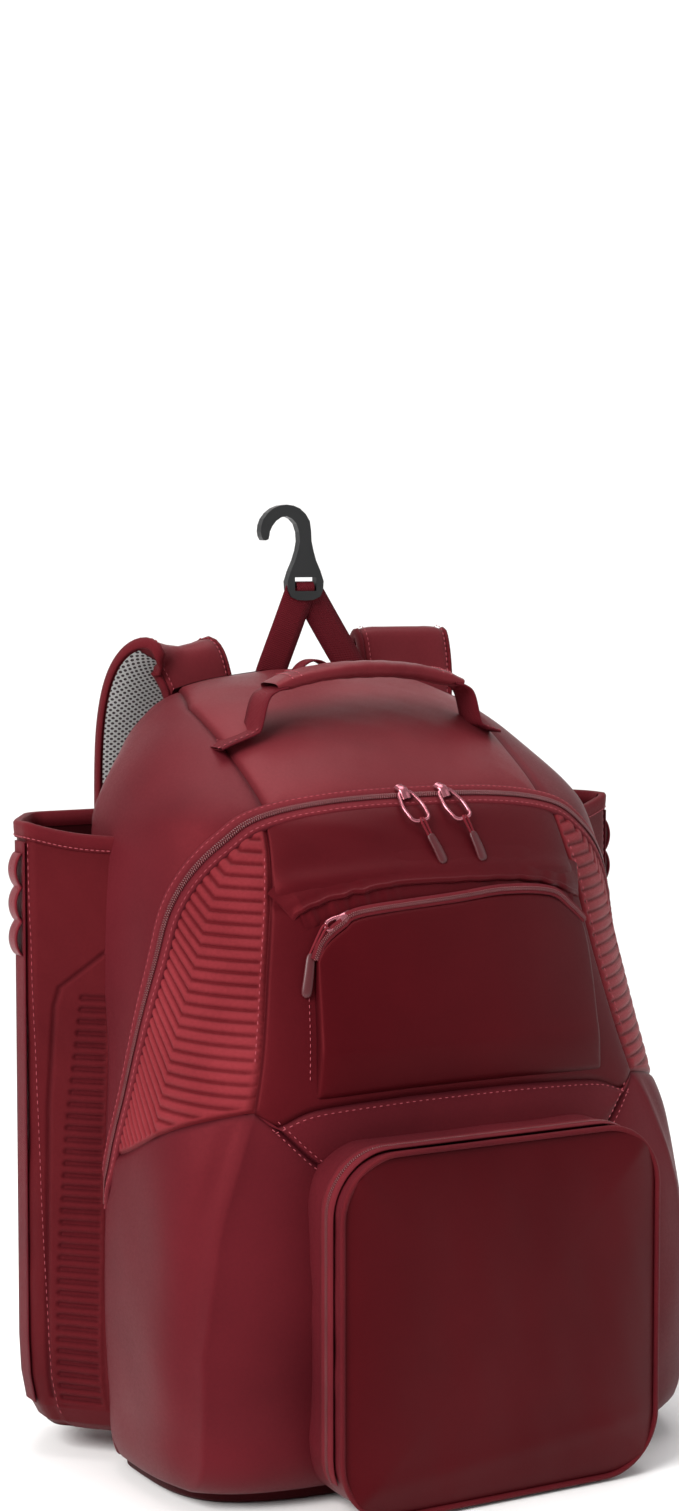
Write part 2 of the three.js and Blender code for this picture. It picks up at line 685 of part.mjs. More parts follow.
// Level bars on the sleeve's front flap: they start beside the body, and get shorter upwards.
function ladderRibs(side) {
  const inner = sleeveReach * ladderShares.inner;
  const count = Math.floor((ladderTop - ladderFoot) / ladderPitch);
  const strips = [];
  for (let i = 0; i < count; i += 1) {
    const level = ladderFoot + (i + 0.5) * ladderPitch;
    const { outerAtFoot, outerAtTop } = ladderShares;
    const outer = sleeveReach * (outerAtFoot + (outerAtTop - outerAtFoot) * (i / count) ** 2);
    const ends = [inner, outer].map((x) => side * x).sort((a, b) => a - b);
    strips.push(box(ends[0], ends[1], -farOut, -sleeveFrontDepth - 1, level, level + ladderRibWidth));
  }
  return sleeveForm(side, ladderRibRise, sleeveFoot, sleeveRim - seamGap)
    .subtract(sleeveForm(side, -wall / 2, sleeveFoot, sleeveRim))
    .intersect(wasm.Manifold.union(strips));
}

function sleeve(side) {
  const outer = sleeveForm(side, 0, sleeveFoot, sleeveRim - seamGap);
  const inner = sleeveForm(side, -wall, sleeveFoot + wall, sleeveHeight + wall);
  return outer.subtract(inner).subtract(clearOfBody).add(ladderRibs(side));
}

function sleeveBinding(side) {
  const outer = sleeveForm(side, sleeveBindingRise, sleeveFoot, sleeveHeight);
  const inner = sleeveForm(side, -wall - sleeveBindingRise, sleeveFoot - wall, sleeveHeight + wall);
  return outer.subtract(inner).subtract(clearOfBody).intersect(aboveLevel(sleeveRim));
}

// A strip of webbing on the sleeve's outer corner, sewn down between small gear loops.
function gearLoops(side) {
  const foot = sleeveReach * sleeveCorners[2].x + seamGap;
  const top = sleeveRim - 2 * sleeveBindingHeight;
  const steps = 6;
  const shape = new THREE.Shape();
  shape.moveTo(foot, top - gearLoopCount * gearLoopHeight);
  const bulge = (share) => gearLoopRise * Math.sin(Math.PI * share) ** 0.7;
  for (let i = 0; i <= gearLoopCount * steps; i += 1) {
    const share = (i % steps) / steps;
    const height = top - (gearLoopCount - i / steps) * gearLoopHeight;
    shape.lineTo(foot + 2 * webbingThickness + bulge(share), height);
  }
  shape.lineTo(foot, top);
  for (let loop = 0; loop < gearLoopCount; loop += 1) {
    const low = top - (gearLoopCount - loop) * gearLoopHeight;
    const hole = new THREE.Path();
    hole.moveTo(foot + webbingThickness, low + gearLoopHeight * 0.15);
    for (let i = 1; i < steps; i += 1) {
      const share = loopHoleStart + (loopHoleLength * i) / steps;
      hole.lineTo(foot + webbingThickness + bulge(i / steps), low + gearLoopHeight * share);
    }
    hole.lineTo(foot + webbingThickness, low + gearLoopHeight * 0.85);
    shape.holes.push(hole);
  }
  const middle = -sleeveFrontDepth * (sleeveCorners[1].depthAtMouth + sleeveCorners[2].depthAtMouth) / 2;
  const { shape: outer, holes } = shape.extractPoints(6);
  const sided = (line) => (side > 0 ? line : line.map((p) => new THREE.Vector2(-p.x, p.y)).reverse());
  const sidedShape = new THREE.Shape(sided(outer));
  sidedShape.holes = holes.map((line) => new THREE.Path(sided(line)));
  return prism(sidedShape, gearLoopWidth, [axisX, axisZ, towardsFront], [0, middle + gearLoopWidth / 2, 0]);
}

// Shoulder straps: a pad, a mesh layer on its inner face and a webbing down to the base

const routePoint = ({ side, behind, height }, hand) => (
  vector(hand * side * halfWidth, behind * bodyDepth, height * bodyHeight)
);

function strapRows(name, thickness) {
  const hand = name === 'left' ? -1 : 1;
  return strapRoutes[name].map((row) => (
    { at: routePoint(row, hand), width: row.breadth * halfWidth, thick: thickness }
  ));
}

const padThickness = strapThickness - strapMeshThickness - seamGap;
const padForm = (name, options) => bandAlong(strapRows(name, padThickness), axisX, strapSteps, options);
const strapPad = (name) => padForm(name, { padded: true }).subtract(clearOfBody);
const clearOfPad = (name) => padForm(name, { growth: seamGap });
const strapMesh = (name) => bandAlong(strapRows(name, strapMeshThickness), axisX, strapSteps - meshSkip, {
  offset: (padThickness + strapMeshThickness) / 2 + seamGap,
  from: meshSkip / strapSteps,
}).subtract(clearOfPad(name));

// The webbing leaves the pad's lower end and is sewn flat to the back panel's lower corner.
function strapWebbing(name) {
  const places = strapRows(name, padThickness).map((row) => row.at);
  const path = new THREE.CatmullRomCurve3(places, false, 'centripetal');
  const start = path.getPoint(0.98);
  const hand = Math.sign(start.x);
  const anchorX = hand * (planSections[1].backWide * halfWidth - 1.7 * webbingWidth);
  const seam = vector(anchorX, -seamGap, 4 * baseHeight + webbingWidth);
  const size = { width: webbingWidth, thick: webbingThickness };
  const free = bandAlong([
    { at: start, ...size },
    { at: start.clone().lerp(seam, 0.55).setY(start.y * 0.38), ...size },
    { at: seam.clone().setZ(seam.z + webbingWidth / 3).setY(2 * webbingThickness), ...size },
    { at: seam, ...size },
  ], axisX, 6);
  const [low, high] = [anchorX - webbingWidth / 2, anchorX + webbingWidth / 2];
  const footprint = box(low, high, -bodyDepth / 4, farOut, 4 * baseHeight, seam.z + webbingWidth / 3);
  return free.subtract(clearOfPad(name)).subtract(clearOfBody).add(sewnOn(footprint));
}

// The grab handle: a padded grip across the top, and a flat webbing foot at each end

// The place on the upper front where the body reaches a depth at a sideways place.
function roofPoint(x, y, lift) {
  let low = 0.75 * bodyHeight;
  let high = 0.999 * bodyHeight;
  for (let i = 0; i < 24; i += 1) {
    const middle = (low + high) / 2;
    if (frontPoint(x, middle, 0).y < y) {
      low = middle;
    } else {
      high = middle;
    }
  }
  return vector(x, y, high + lift);
}

const handleEnd = handleSpan / 2;
const handleCrown = handleRise - handleThickness / 2;
const handleRoof = roofPoint(0, -handleDepth, 0).z;

function gripForm(options) {
  const row = (share, rise) => ({
    at: vector(share * handleEnd, -handleDepth, handleRoof + rise * handleCrown),
    width: handleWidth,
    thick: handleThickness,
  });
  return bandAlong([
    row(-1, 0.66),
    row(-0.85, 0.84),
    row(-0.4, 0.98),
    row(0, 1),
    row(0.4, 0.98),
    row(0.85, 0.84),
    row(1, 0.66),
  ], axisY, 12, options);
}

// Each foot is a webbing that leaves the grip's end, turns outwards and is sewn flat to the body.
function handleFoot(side) {
  const size = { width: webbingWidth, thick: webbingThickness };
  const seat = roofPoint(side * (handleEnd + 9), -handleDepth, webbingThickness / 2 + seamGap);
  const riser = bandAlong([
    { at: vector(side * handleEnd * 0.96, -handleDepth, handleRoof + handleCrown * 0.68), ...size },
    { at: vector(side * (handleEnd + 2.5), -handleDepth, handleRoof + handleCrown * 0.5), ...size },
    { at: seat.clone().add(vector(-2 * side, 0, 9)), ...size },
    { at: seat.clone().add(vector(2 * side, 0, 2)), ...size },
    { at: seat.clone().add(vector(6 * side, 0, -3)), ...size },
  ], axisY, 8);
  const ends = [handleEnd + 7, handleEnd + 7 + handleFootLength].map((x) => side * x).sort((a, b) => a - b);
  const near = -handleDepth - webbingWidth / 2;
  const footprint = box(ends[0], ends[1], near, near + webbingWidth, bodyHeight / 2, farOut);
  return riser.subtract(gripForm({ growth: seamGap })).subtract(clearOfBody).add(sewnOn(footprint));
}

// The hanger: a hook with a slot, and one webbing that goes through the slot with a leg each way

const hookFoot = roofPoint(hookSide, -hangerDepth, 0).z + hangerRise;
const slotLow = hookFoot + hookHeight * 0.1;
const slotHigh = slotLow + hookSlotHeight;

function hangHook() {
  const points = hookOutline.map(({ side, height }) => (
    new THREE.Vector3(hookSide + side * hookBaseWidth, hookFoot + height * hookHeight, 0)
  ));
  const curve = new THREE.CatmullRomCurve3(points, true, 'centripetal');
  const outline = curve.getPoints(2 * points.length).slice(0, -1).map((p) => [p.x, p.y]);
  const half = hookThickness / 2;
  const halfSlot = hookSlotWidth / 2;
  const slot = box(hookSide - halfSlot, hookSide + halfSlot, -farOut, farOut, slotLow, slotHigh);
  return frontPrism(outline, half - hangerDepth, -half - hangerDepth).subtract(slot);
}

function hangWebbing() {
  const halfReach = hookThickness / 2 + seamGap + webbingThickness / 2;
  const topLevel = slotHigh - seamGap;
  const leg = (footX, side) => {
    const y = -hangerDepth + side * halfReach;
    const foot = roofPoint(footX, -hangerDepth, -wall);
    return bandAlong([
      { at: vector(foot.x, y, foot.z), width: webbingWidth, thick: webbingThickness },
      {
        at: vector((foot.x + hookSide) / 2, y, (foot.z + slotLow) / 2),
        width: webbingWidth * 0.9,
        thick: webbingThickness,
      },
      { at: vector(hookSide, y, slotLow), width: hookSlotWidth - 2 * seamGap, thick: webbingThickness },
      { at: vector(hookSide, y, topLevel), width: hookSlotWidth - 2 * seamGap, thick: webbingThickness },
    ], axisX, 5);
  };
  const throughHalf = hookSlotWidth / 2 - seamGap;
  const reachY = halfReach + webbingThickness / 2;
  const through = box(
    hookSide - throughHalf, hookSide + throughHalf, -hangerDepth - reachY, -hangerDepth + reachY,
    slotLow + seamGap, topLevel,
  );
  return leg(hangerFeet.left, -1).add(leg(hangerFeet.right, 1)).add(through).subtract(clearOfBody);
}

// A small webbing loop behind the handle.
function topLoop() {
  const middle = roofPoint(0, -topLoopDepth, -wall);
  const rows = [];
  for (let i = 0; i <= 6; i += 1) {
    const angle = (Math.PI * i) / 6;
    const spoke = vector(-topLoopRadius * Math.cos(angle), 0, topLoopRadius * Math.sin(angle));
    const at = middle.clone().add(spoke);
    rows.push({ at, width: webbingWidth / 3, thick: webbingThickness });
  }
  return bandAlong(rows, axisY, 8).subtract(clearOfBody);
}

// Zip sliders: a body on the coil, a ring through it and a pull that hangs down the front

// Where a slider sits: its middle, the slope down the front and the direction away from the body.
function sliderSeat(x, z, rise) {
  const at = (b) => frontPoint(x, z + b, rise + seamGap + sliderHeight / 2);
  const slope = at(sliderWidth / 2).sub(at(-sliderWidth / 2)).normalize();
  const outwards = new THREE.Vector3().crossVectors(axisX, slope);
  const ringMiddle = at(0)
    .addScaledVector(slope, sliderRingWire - sliderWidth / 2 - sliderRingRadius)
    .addScaledVector(outwards, sliderHeight / 4);
  return { middle: at(0), slope, outwards, ringMiddle };
}

function zipSlider(x, z, along, rise) {
  const { middle, slope, outwards, ringMiddle } = sliderSeat(x, z, rise);
  const size = { width: sliderWidth, thick: sliderHeight };
  const ends = [-sliderLength / 2, sliderLength / 2];
  const rows = ends.map((end) => ({ at: middle.clone().addScaledVector(along, end), ...size }));
  const block = bandAlong(rows, slope, 2);
  const ring = new THREE.TorusGeometry(sliderRingRadius, sliderRingWire, 5, 12);
  ring.applyMatrix4(new THREE.Matrix4().makeBasis(axisX, slope, outwards).setPosition(ringMiddle));
  return block.add(toSolid(ring));
}

// A pull starts just below the slider's ring and hangs down the front: a cord, then a moulded tab.
function zipPull(x, z, rise, end) {
  const { slope, ringMiddle } = sliderSeat(x, z, rise);
  const start = ringMiddle.addScaledVector(slope, -sliderRingRadius - sliderRingWire - 1.4 * seamGap);
  const stop = frontPoint(end.x, z - end.drop, end.lift);
  const tabStart = 0.56;
  return bandAlong([0, 0.3, 0.5, tabStart, 0.8, 1].map((share) => {
    const tab = share >= tabStart;
    return {
      at: start.clone().lerp(stop, share),
      width: tab ? pullTabWidth : pullCordThickness * 1.4,
      thick: tab ? pullTabThickness : pullCordThickness,
    };
  }), axisX, 9);
}

// The assembly

const backpack = new THREE.Group();
const addNode = (name, solid, material) => backpack.add(toMesh(name, solid, material));

addNode('back_panel', back, clothDark);
addNode('base_panel', base, clothDark);
addNode('top_panel', top, clothMaroon);
addNode('main_zip', mainZip(), tapeMaroon);
addNode('front_panel', front, clothDark);
addNode('yoke_panel', yoke, clothMaroon);
addNode('lower_panel', lower, clothMaroon);
addNode('chest_pocket', chestPocket(), clothDark);
addNode('chest_zip', chestZip, tapeMaroon);
addNode('chest_zip_hood', chestHood, clothMaroon);
addNode('lower_pocket_gusset', lowerGusset(), clothDark);
addNode('lower_pocket_zip', lowerZip(), tapeMaroon);
addNode('lower_pocket_piping', pocketRing(1.4, wall, lowerPipingY, lowerFaceY + seamGap), clothMaroon);
addNode('lower_pocket_face', lowerFace(), clothDark);

for (const [name, side] of [['left', -1], ['right', 1]]) {
  addNode(`side_panel_${name}`, sides.intersect(sideOf(side)), clothMaroon);
  addNode(`ribbed_shoulder_${name}`, ribbedShoulders.intersect(sideOf(side)), clothShoulder);
  addNode(`side_sleeve_${name}`, sleeve(side), clothSleeve);
  addNode(`sleeve_binding_${name}`, sleeveBinding(side), clothMaroon);
  addNode(`gear_loops_${name}`, gearLoops(side), webbingMaroon);
  addNode(`shoulder_strap_${name}`, strapPad(name), clothMaroon);
  addNode(`strap_mesh_${name}`, strapMesh(name), meshGrey);
  addNode(`strap_webbing_${name}`, strapWebbing(name), webbingMaroon);
  addNode(`handle_foot_${name}`, handleFoot(side), webbingMaroon);
}

addNode('grab_handle', gripForm({ padded: true }), clothMaroon);
addNode('hang_webbing', hangWebbing(), webbingMaroon);
addNode('hang_hook', hangHook(), hookPlastic);
addNode('top_loop', topLoop(), webbingMaroon);

const zipTop = openingSeam[8].height * bodyHeight;
const coilRise = 2 * zipCoilRise;
for (const { name, x, pullEnd } of mainSliders) {
  addNode(`zip_slider_${name}`, zipSlider(x, zipTop, axisX, coilRise), sliderMetal);
  addNode(`zip_pull_${name}`, zipPull(x, zipTop, coilRise, pullEnd), pullRubber);
}

const chestX = 0.75 * chestPocketCorner - chestPocketWidth / 2;
const chestZ = chestPocketTop - 0.06 * chestPocketCorner + chestZipWidth / 2;
const chestRise = chestPocketRise + chestSliderGap;
const chestAlong = vector(chestSlope.x, 0, chestSlope.z);
addNode('chest_slider', zipSlider(chestX, chestZ, chestAlong, chestRise), sliderMetal);
addNode('chest_pull', zipPull(chestX, chestZ, chestRise, chestPullEnd), pullRubber);

// Stands on the ground with its middle over the origin.
const extent = new THREE.Box3().setFromObject(backpack);
const middle = extent.getCenter(new THREE.Vector3());
backpack.position.set(-middle.x, -middle.y, -extent.min.z);

const part = new THREE.Group();
part.add(backpack);
part.updateMatrixWorld(true);

export default part;
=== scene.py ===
# %% [markdown]
# # A baseball bat backpack, dressed in Blender
#
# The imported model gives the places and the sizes. This script covers it with the cloth, zips, webbing
# and moulded pieces of the real bag. Distances are in millimetres with the back face at y = 0 and the
# ground at z = 0 until a mesh is made, which moves them into the model's frame in metres.

# %% Load the model
import json
import math

import bpy
import numpy as np
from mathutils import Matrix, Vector

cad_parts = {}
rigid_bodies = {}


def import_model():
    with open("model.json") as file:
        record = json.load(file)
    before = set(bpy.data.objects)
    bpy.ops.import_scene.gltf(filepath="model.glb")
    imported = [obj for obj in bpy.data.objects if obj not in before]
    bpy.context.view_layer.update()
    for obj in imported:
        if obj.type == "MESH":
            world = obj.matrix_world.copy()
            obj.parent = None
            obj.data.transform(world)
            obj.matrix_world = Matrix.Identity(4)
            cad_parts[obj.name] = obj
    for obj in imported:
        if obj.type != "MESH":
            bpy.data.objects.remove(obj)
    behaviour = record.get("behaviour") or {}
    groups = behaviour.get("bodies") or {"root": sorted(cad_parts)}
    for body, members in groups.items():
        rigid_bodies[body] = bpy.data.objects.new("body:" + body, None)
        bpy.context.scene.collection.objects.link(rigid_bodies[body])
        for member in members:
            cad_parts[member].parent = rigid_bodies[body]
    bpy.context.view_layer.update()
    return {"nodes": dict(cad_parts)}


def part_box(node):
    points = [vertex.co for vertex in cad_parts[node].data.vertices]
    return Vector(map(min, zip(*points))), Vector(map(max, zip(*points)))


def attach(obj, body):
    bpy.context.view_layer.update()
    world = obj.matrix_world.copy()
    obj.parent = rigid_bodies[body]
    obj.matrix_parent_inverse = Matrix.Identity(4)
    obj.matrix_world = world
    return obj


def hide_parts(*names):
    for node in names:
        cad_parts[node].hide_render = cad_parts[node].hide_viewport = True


for start_object in list(bpy.data.objects):
    bpy.data.objects.remove(start_object)
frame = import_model()
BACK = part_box("back_panel")[1][1] * 1000
print("model loaded, back face at", round(BACK, 2), "mm")

# %% [markdown]
# ## Helpers for whole-array meshes
#
# Every piece is a grid of points or a few grids joined. A grid's faces come from one index pattern,
# and its points go in with one call.

# %% Mesh helpers


def new_object(name, points, faces, material, smooth=True, attributes=None):
    """Makes a mesh object from points in millimetres and an (n, 4) or (n, 3) array of faces."""
    points = np.asarray(points, dtype=np.float64).reshape(-1, 3)
    metres = (points + (0.0, BACK, 0.0)) * 0.001
    faces = np.asarray(faces, dtype=np.int32)
    sides = faces.shape[1]
    mesh = bpy.data.meshes.new(name)
    mesh.vertices.add(len(metres))
    mesh.vertices.foreach_set("co", metres.astype(np.float32).ravel())
    mesh.loops.add(faces.size)
    mesh.loops.foreach_set("vertex_index", faces.ravel())
    mesh.polygons.add(len(faces))
    mesh.polygons.foreach_set("loop_start", np.arange(0, faces.size, sides, dtype=np.int32))
    mesh.update(calc_edges=True)
    mesh.polygons.foreach_set("use_smooth", np.full(len(faces), smooth))
    for key, values in (attributes or {}).items():
        values = np.asarray(values, dtype=np.float32)
        kind = "FLOAT" if values.ndim == 1 else "FLOAT_VECTOR"
        field = "value" if values.ndim == 1 else "vector"
        mesh.attributes.new(key, kind, "POINT").data.foreach_set(field, values.ravel())
    mesh.validate()
    obj = bpy.data.objects.new(name, mesh)
    bpy.context.scene.collection.objects.link(obj)
    obj.data.materials.append(material)
    return obj


def grid_faces(rows, columns, wrap=False, start=0):
    """The faces of a grid of rows by columns; wrap joins the last column to the first."""
    r = np.arange(rows - 1)[:, None]
    c = np.arange(columns if wrap else columns - 1)[None, :]
    d = (c + 1) % columns
    a = start + r * columns + c
    b = start + r * columns + d
    return np.stack([a, b, b + columns, a + columns], axis=-1).reshape(-1, 4)


def unit(v):
    return v / np.maximum(np.linalg.norm(v, axis=-1, keepdims=True), 1e-9)


def smooth_line(points, count):
    """A Catmull-Rom line through a few points, at evenly spaced places along its length."""
    p = np.asarray(points, dtype=float)
    ends = np.vstack([2 * p[0] - p[1], p, 2 * p[-1] - p[-2]])
    t = np.linspace(0, len(p) - 1, 24 * len(p))
    i = np.minimum(t.astype(int), len(p) - 2)
    f = (t - i)[:, None]
    a, b, c, d = (ends[i + k] for k in range(4))
    square, cube = 2 * a - 5 * b + 4 * c - d, 3 * b - a - 3 * c + d
    return even(0.5 * (2 * b + (c - a) * f + square * f**2 + cube * f**3), count)


def run_along(line):
    """Distance along a line at each of its points, starting at 0."""
    return np.concatenate([[0], np.cumsum(np.linalg.norm(np.diff(line, axis=0), axis=1))])


def even(line, count):
    """The same line at evenly spaced places."""
    run = run_along(line)
    want = np.linspace(0, run[-1], count)
    return np.stack([np.interp(want, run, line[:, k]) for k in range(line.shape[1])], axis=1)


def length_of(line):
    return float(np.linalg.norm(np.diff(line, axis=0), axis=1).sum())


def signed_power(values, exponent):
    return np.sign(values) * np.abs(values) ** exponent


def cloth_layout(across, along, shape, seam=0.0):
    """The attributes that the cloth reads from a grid: its flat layout and its seam mask of painted shade.
    """
    sheets = [np.broadcast_to(values, shape) for values in (across, along, 0.0)]
    flat = np.stack(sheets, axis=-1)
    return {"flat": flat.reshape(-1, 3), "seam": np.broadcast_to(seam, shape).ravel()}


def wave(points, seed, size):
    """Soft noise in -1 to 1: a sum of seeded sine waves about `size` millimetres long."""
    rng = np.random.default_rng(seed)
    total = np.zeros(points.shape[:-1])
    for share in (1.0, 0.63, 0.41):
        k = unit(rng.normal(size=3)) * 2 * math.pi / (size * share)
        total += share * np.sin(points @ k + rng.uniform(0, 6.28))
    return total / 2.04


# %% [markdown]
# ## The body's form
#
# The body is a stack of plan sections. Each one is a rounded outline: half a superellipse in front of
# the widest place and another behind it, which narrows to the back corners. Between the table's rows
# the sizes follow a smooth curve. The outline is walked by its share of arc length, from 0 at the
# middle of the front to 1 at the middle of the back, so that panels can be laid out on a flat grid.

# %% The body form
BODY_H, HALF_W, BODY_D = 480.0, 187.0, 237.0
SECTIONS = np.array([
    # height, wide, back wide, widest, front, front round, back round
    [0.000, 0.888, 0.642, 0.464, 0.895, 4.0, 6.0],
    [0.029, 0.952, 0.663, 0.481, 0.954, 4.6, 6.0],
    [0.104, 0.984, 0.674, 0.506, 0.987, 5.0, 6.0],
    [0.208, 1.000, 0.684, 0.515, 1.000, 5.0, 6.0],
    [0.417, 0.968, 0.706, 0.473, 0.975, 3.9, 6.0],
    [0.490, 0.941, 0.711, 0.439, 0.954, 3.4, 6.0],
    [0.625, 0.909, 0.717, 0.363, 0.895, 2.9, 6.0],
    [0.819, 0.872, 0.706, 0.228, 0.760, 2.8, 6.0],
    [0.850, 0.834, 0.684, 0.203, 0.709, 2.7, 6.0],
    [0.896, 0.749, 0.642, 0.177, 0.591, 2.4, 6.0],
    [0.9375, 0.636, 0.594, 0.152, 0.456, 2.3, 6.0],
    [0.969, 0.513, 0.476, 0.127, 0.321, 2.2, 5.0],
    [0.990, 0.321, 0.262, 0.101, 0.194, 2.1, 4.0],
    [1.000, 0.107, 0.086, 0.055, 0.084, 2.0, 3.0],
])


def monotone(x, xp, fp):
    """A smooth curve through the table that never overshoots it."""
    h = np.diff(xp)
    slope = np.diff(fp) / h
    m = np.concatenate([[slope[0]], (slope[:-1] + slope[1:]) / 2, [slope[-1]]])
    flat = slope[:-1] * slope[1:] <= 0
    m[1:-1][flat] = 0
    m[:-1] = np.where(np.abs(m[:-1]) > 3 * np.abs(slope), 3 * slope, m[:-1])
    m[1:] = np.where(np.abs(m[1:]) > 3 * np.abs(slope), 3 * slope, m[1:])
    i = np.clip(np.searchsorted(xp, x, side="right") - 1, 0, len(h) - 1)
    t = np.clip((x - xp[i]) / h[i], 0, 1)
    return (
        (2 * t**3 - 3 * t**2 + 1) * fp[i] + (t**3 - 2 * t**2 + t) * h[i] * m[i]
        + (3 * t**2 - 2 * t**3) * fp[i + 1] + (t**3 - t**2) * h[i] * m[i + 1]
    )


def section_sizes(z):
    share = np.clip(np.asarray(z, dtype=float) / BODY_H, 0, 1)
    columns = (monotone(share, SECTIONS[:, 0], SECTIONS[:, k]) for k in range(1, 7))
    wide, back, widest, front, fr, br = columns
    return wide * HALF_W, back * HALF_W, widest * BODY_D, front * BODY_D, fr, br


ROWS, COLUMNS, FINE = 481, 361, 1201
row_z = np.linspace(0, BODY_H, ROWS)


def build_table():
    """x and y of the right half of every section, at even shares of its arc length."""
    wide, back, widest, front, fr, br = (v[:, None] for v in section_sizes(row_z))
    a = np.linspace(0, math.pi / 2, FINE)[None, :]
    sine, cosine = np.sin(a).clip(0, 1), np.cos(a).clip(0, 1)
    xf = wide * sine ** (2 / fr)
    yf = -widest - (front - widest) * cosine ** (2 / fr)
    along = sine ** (2 / br)
    xb = (wide - (wide - back) * along) * cosine ** (2 / br)
    yb = -widest + widest * along
    x = np.concatenate([xf, xb[:, 1:]], axis=1)
    y = np.concatenate([yf, yb[:, 1:]], axis=1)
    steps = np.hypot(np.diff(x), np.diff(y))
    run = np.concatenate([np.zeros((ROWS, 1)), np.cumsum(steps, axis=1)], axis=1)
    share = run / run[:, -1:]
    want = np.linspace(0, 1, COLUMNS)
    tx = np.stack([np.interp(want, share[i], x[i]) for i in range(ROWS)])
    ty = np.stack([np.interp(want, share[i], y[i]) for i in range(ROWS)])
    return tx, ty


TABLE_X, TABLE_Y = build_table()


def body(t, z):
    """A point of the body at arc share t (negative on the left) and height z."""
    t, z = np.broadcast_arrays(np.asarray(t, dtype=float), np.asarray(z, dtype=float))
    u = np.clip(np.abs(t), 0, 1) * (COLUMNS - 1)
    v = np.clip(z, 0, BODY_H - 1e-6) / BODY_H * (ROWS - 1)
    i, j = np.minimum(v.astype(int), ROWS - 2), np.minimum(u.astype(int), COLUMNS - 2)
    f, g = v - i, u - j

    def look(table):
        low = table[i, j] * (1 - g) + table[i, j + 1] * g
        high = table[i + 1, j] * (1 - g) + table[i + 1, j + 1] * g
        return low * (1 - f) + high * f

    return np.stack([look(TABLE_X) * np.sign(t + 1e-12), look(TABLE_Y), z], axis=-1)


def share_at(z, x=None, y=None):
    """The arc share where the right half of section z reaches an x (in front) or a y."""
    z = np.atleast_1d(np.asarray(z, dtype=float))
    value = np.broadcast_to(x if y is None else y, z.shape)
    shares = np.linspace(0, 1, COLUMNS)
    out = np.empty(len(z))
    for k, (level, want) in enumerate(zip(z, value)):
        at = np.clip(level, 0, BODY_H - 1e-6) / BODY_H * (ROWS - 1)
        i = int(at)
        f = at - i
        if y is None:
            line = TABLE_X[i] * (1 - f) + TABLE_X[min(i + 1, ROWS - 1)] * f
            top = int(np.argmax(line))
            out[k] = np.interp(want, line[: top + 1], shares[: top + 1])
        else:
            line = TABLE_Y[i] * (1 - f) + TABLE_Y[min(i + 1, ROWS - 1)] * f
            out[k] = np.interp(want, np.maximum.accumulate(line), shares)
    return out


def normal_at(t, z):
    """The outward normal of the body at arc share t and height z."""
    dt = body(t + 0.004, z) - body(t - 0.004, z)
    dz = body(t, np.minimum(z + 1.5, BODY_H - 1)) - body(t, np.minimum(z, BODY_H - 2.5) - 1.5)
    return unit(np.cross(dt, dz))


print("body form ready, widest", round(float(TABLE_X.max()), 1), "mm")

# %% [markdown]
# ## Materials
#
# Cloth, webbing and mesh share two small shader groups: one draws a woven grain on the flat layout that
# each piece carries, the other a soft cloudy mask for wear and dye. Both give only masks and heights,
# and each material keeps its own shader.

# %% Shader groups


def srgb(code):
    c = np.array([int(code[i:i + 2], 16) for i in (0, 2, 4)]) / 255
    return tuple(np.where(c <= 0.04045, c / 12.92, ((c + 0.055) / 1.055) ** 2.4)) + (1.0,)


def make_group(name, inputs, outputs):
    group = bpy.data.node_groups.new(name, "ShaderNodeTree")
    for label, value in inputs:
        kind = "NodeSocketVector" if value is None else "NodeSocketFloat"
        socket = group.interface.new_socket(name=label, in_out="INPUT", socket_type=kind)
        if value is not None:
            socket.default_value = value
    for label in outputs:
        group.interface.new_socket(name=label, in_out="OUTPUT", socket_type="NodeSocketFloat")
    return group, group.nodes.new("NodeGroupInput"), group.nodes.new("NodeGroupOutput")


def math_node(tree, operation, *values):
    node = tree.nodes.new("ShaderNodeMath")
    node.operation = operation
    for socket, value in zip(node.inputs, values):
        if isinstance(value, bpy.types.NodeSocket):
            tree.links.new(value, socket)
        else:
            socket.default_value = value
    return node.outputs[0]


def build_weave():
    """Height of crossed threads: the sine of one way times the sine of the other, sharpened."""
    inputs = [("Flat", None), ("Across", 0.8), ("Along", 0.8)]
    group, given, out = make_group("woven_grain", inputs, ["Height"])
    split = group.nodes.new("ShaderNodeSeparateXYZ")
    group.links.new(given.outputs["Flat"], split.inputs[0])
    waves = []
    for axis, key in ((0, "Across"), (1, "Along")):
        turns = math_node(group, "DIVIDE", split.outputs[axis], given.outputs[key])
        waves.append(math_node(group, "SINE", math_node(group, "MULTIPLY", turns, 2 * math.pi)))
    product = math_node(group, "MULTIPLY", waves[0], waves[1])
    group.links.new(math_node(group, "MULTIPLY_ADD", product, 0.5, 0.5), out.inputs["Height"])
    return group


def build_cloud():
    """A cloudy mask from two noises, one broad for dye and one fine for rubbed fibres."""
    group, given, out = make_group("cloth_cloud", [("Place", None), ("Scale", 9.0)], ["Mask", "Fine"])
    broad = group.nodes.new("ShaderNodeTexNoise")
    fine = group.nodes.new("ShaderNodeTexNoise")
    for node, detail in ((broad, 3.0), (fine, 4.0)):
        group.links.new(given.outputs["Place"], node.inputs["Vector"])
        node.inputs["Detail"].default_value = detail
    group.links.new(given.outputs["Scale"], broad.inputs["Scale"])
    group.links.new(math_node(group, "MULTIPLY", given.outputs["Scale"], 60.0), fine.inputs["Scale"])
    group.links.new(broad.outputs["Fac"], out.inputs["Mask"])
    group.links.new(fine.outputs["Fac"], out.inputs["Fine"])
    return group


WEAVE, CLOUD = build_weave(), build_cloud()
print("shader groups:", WEAVE.name, CLOUD.name)
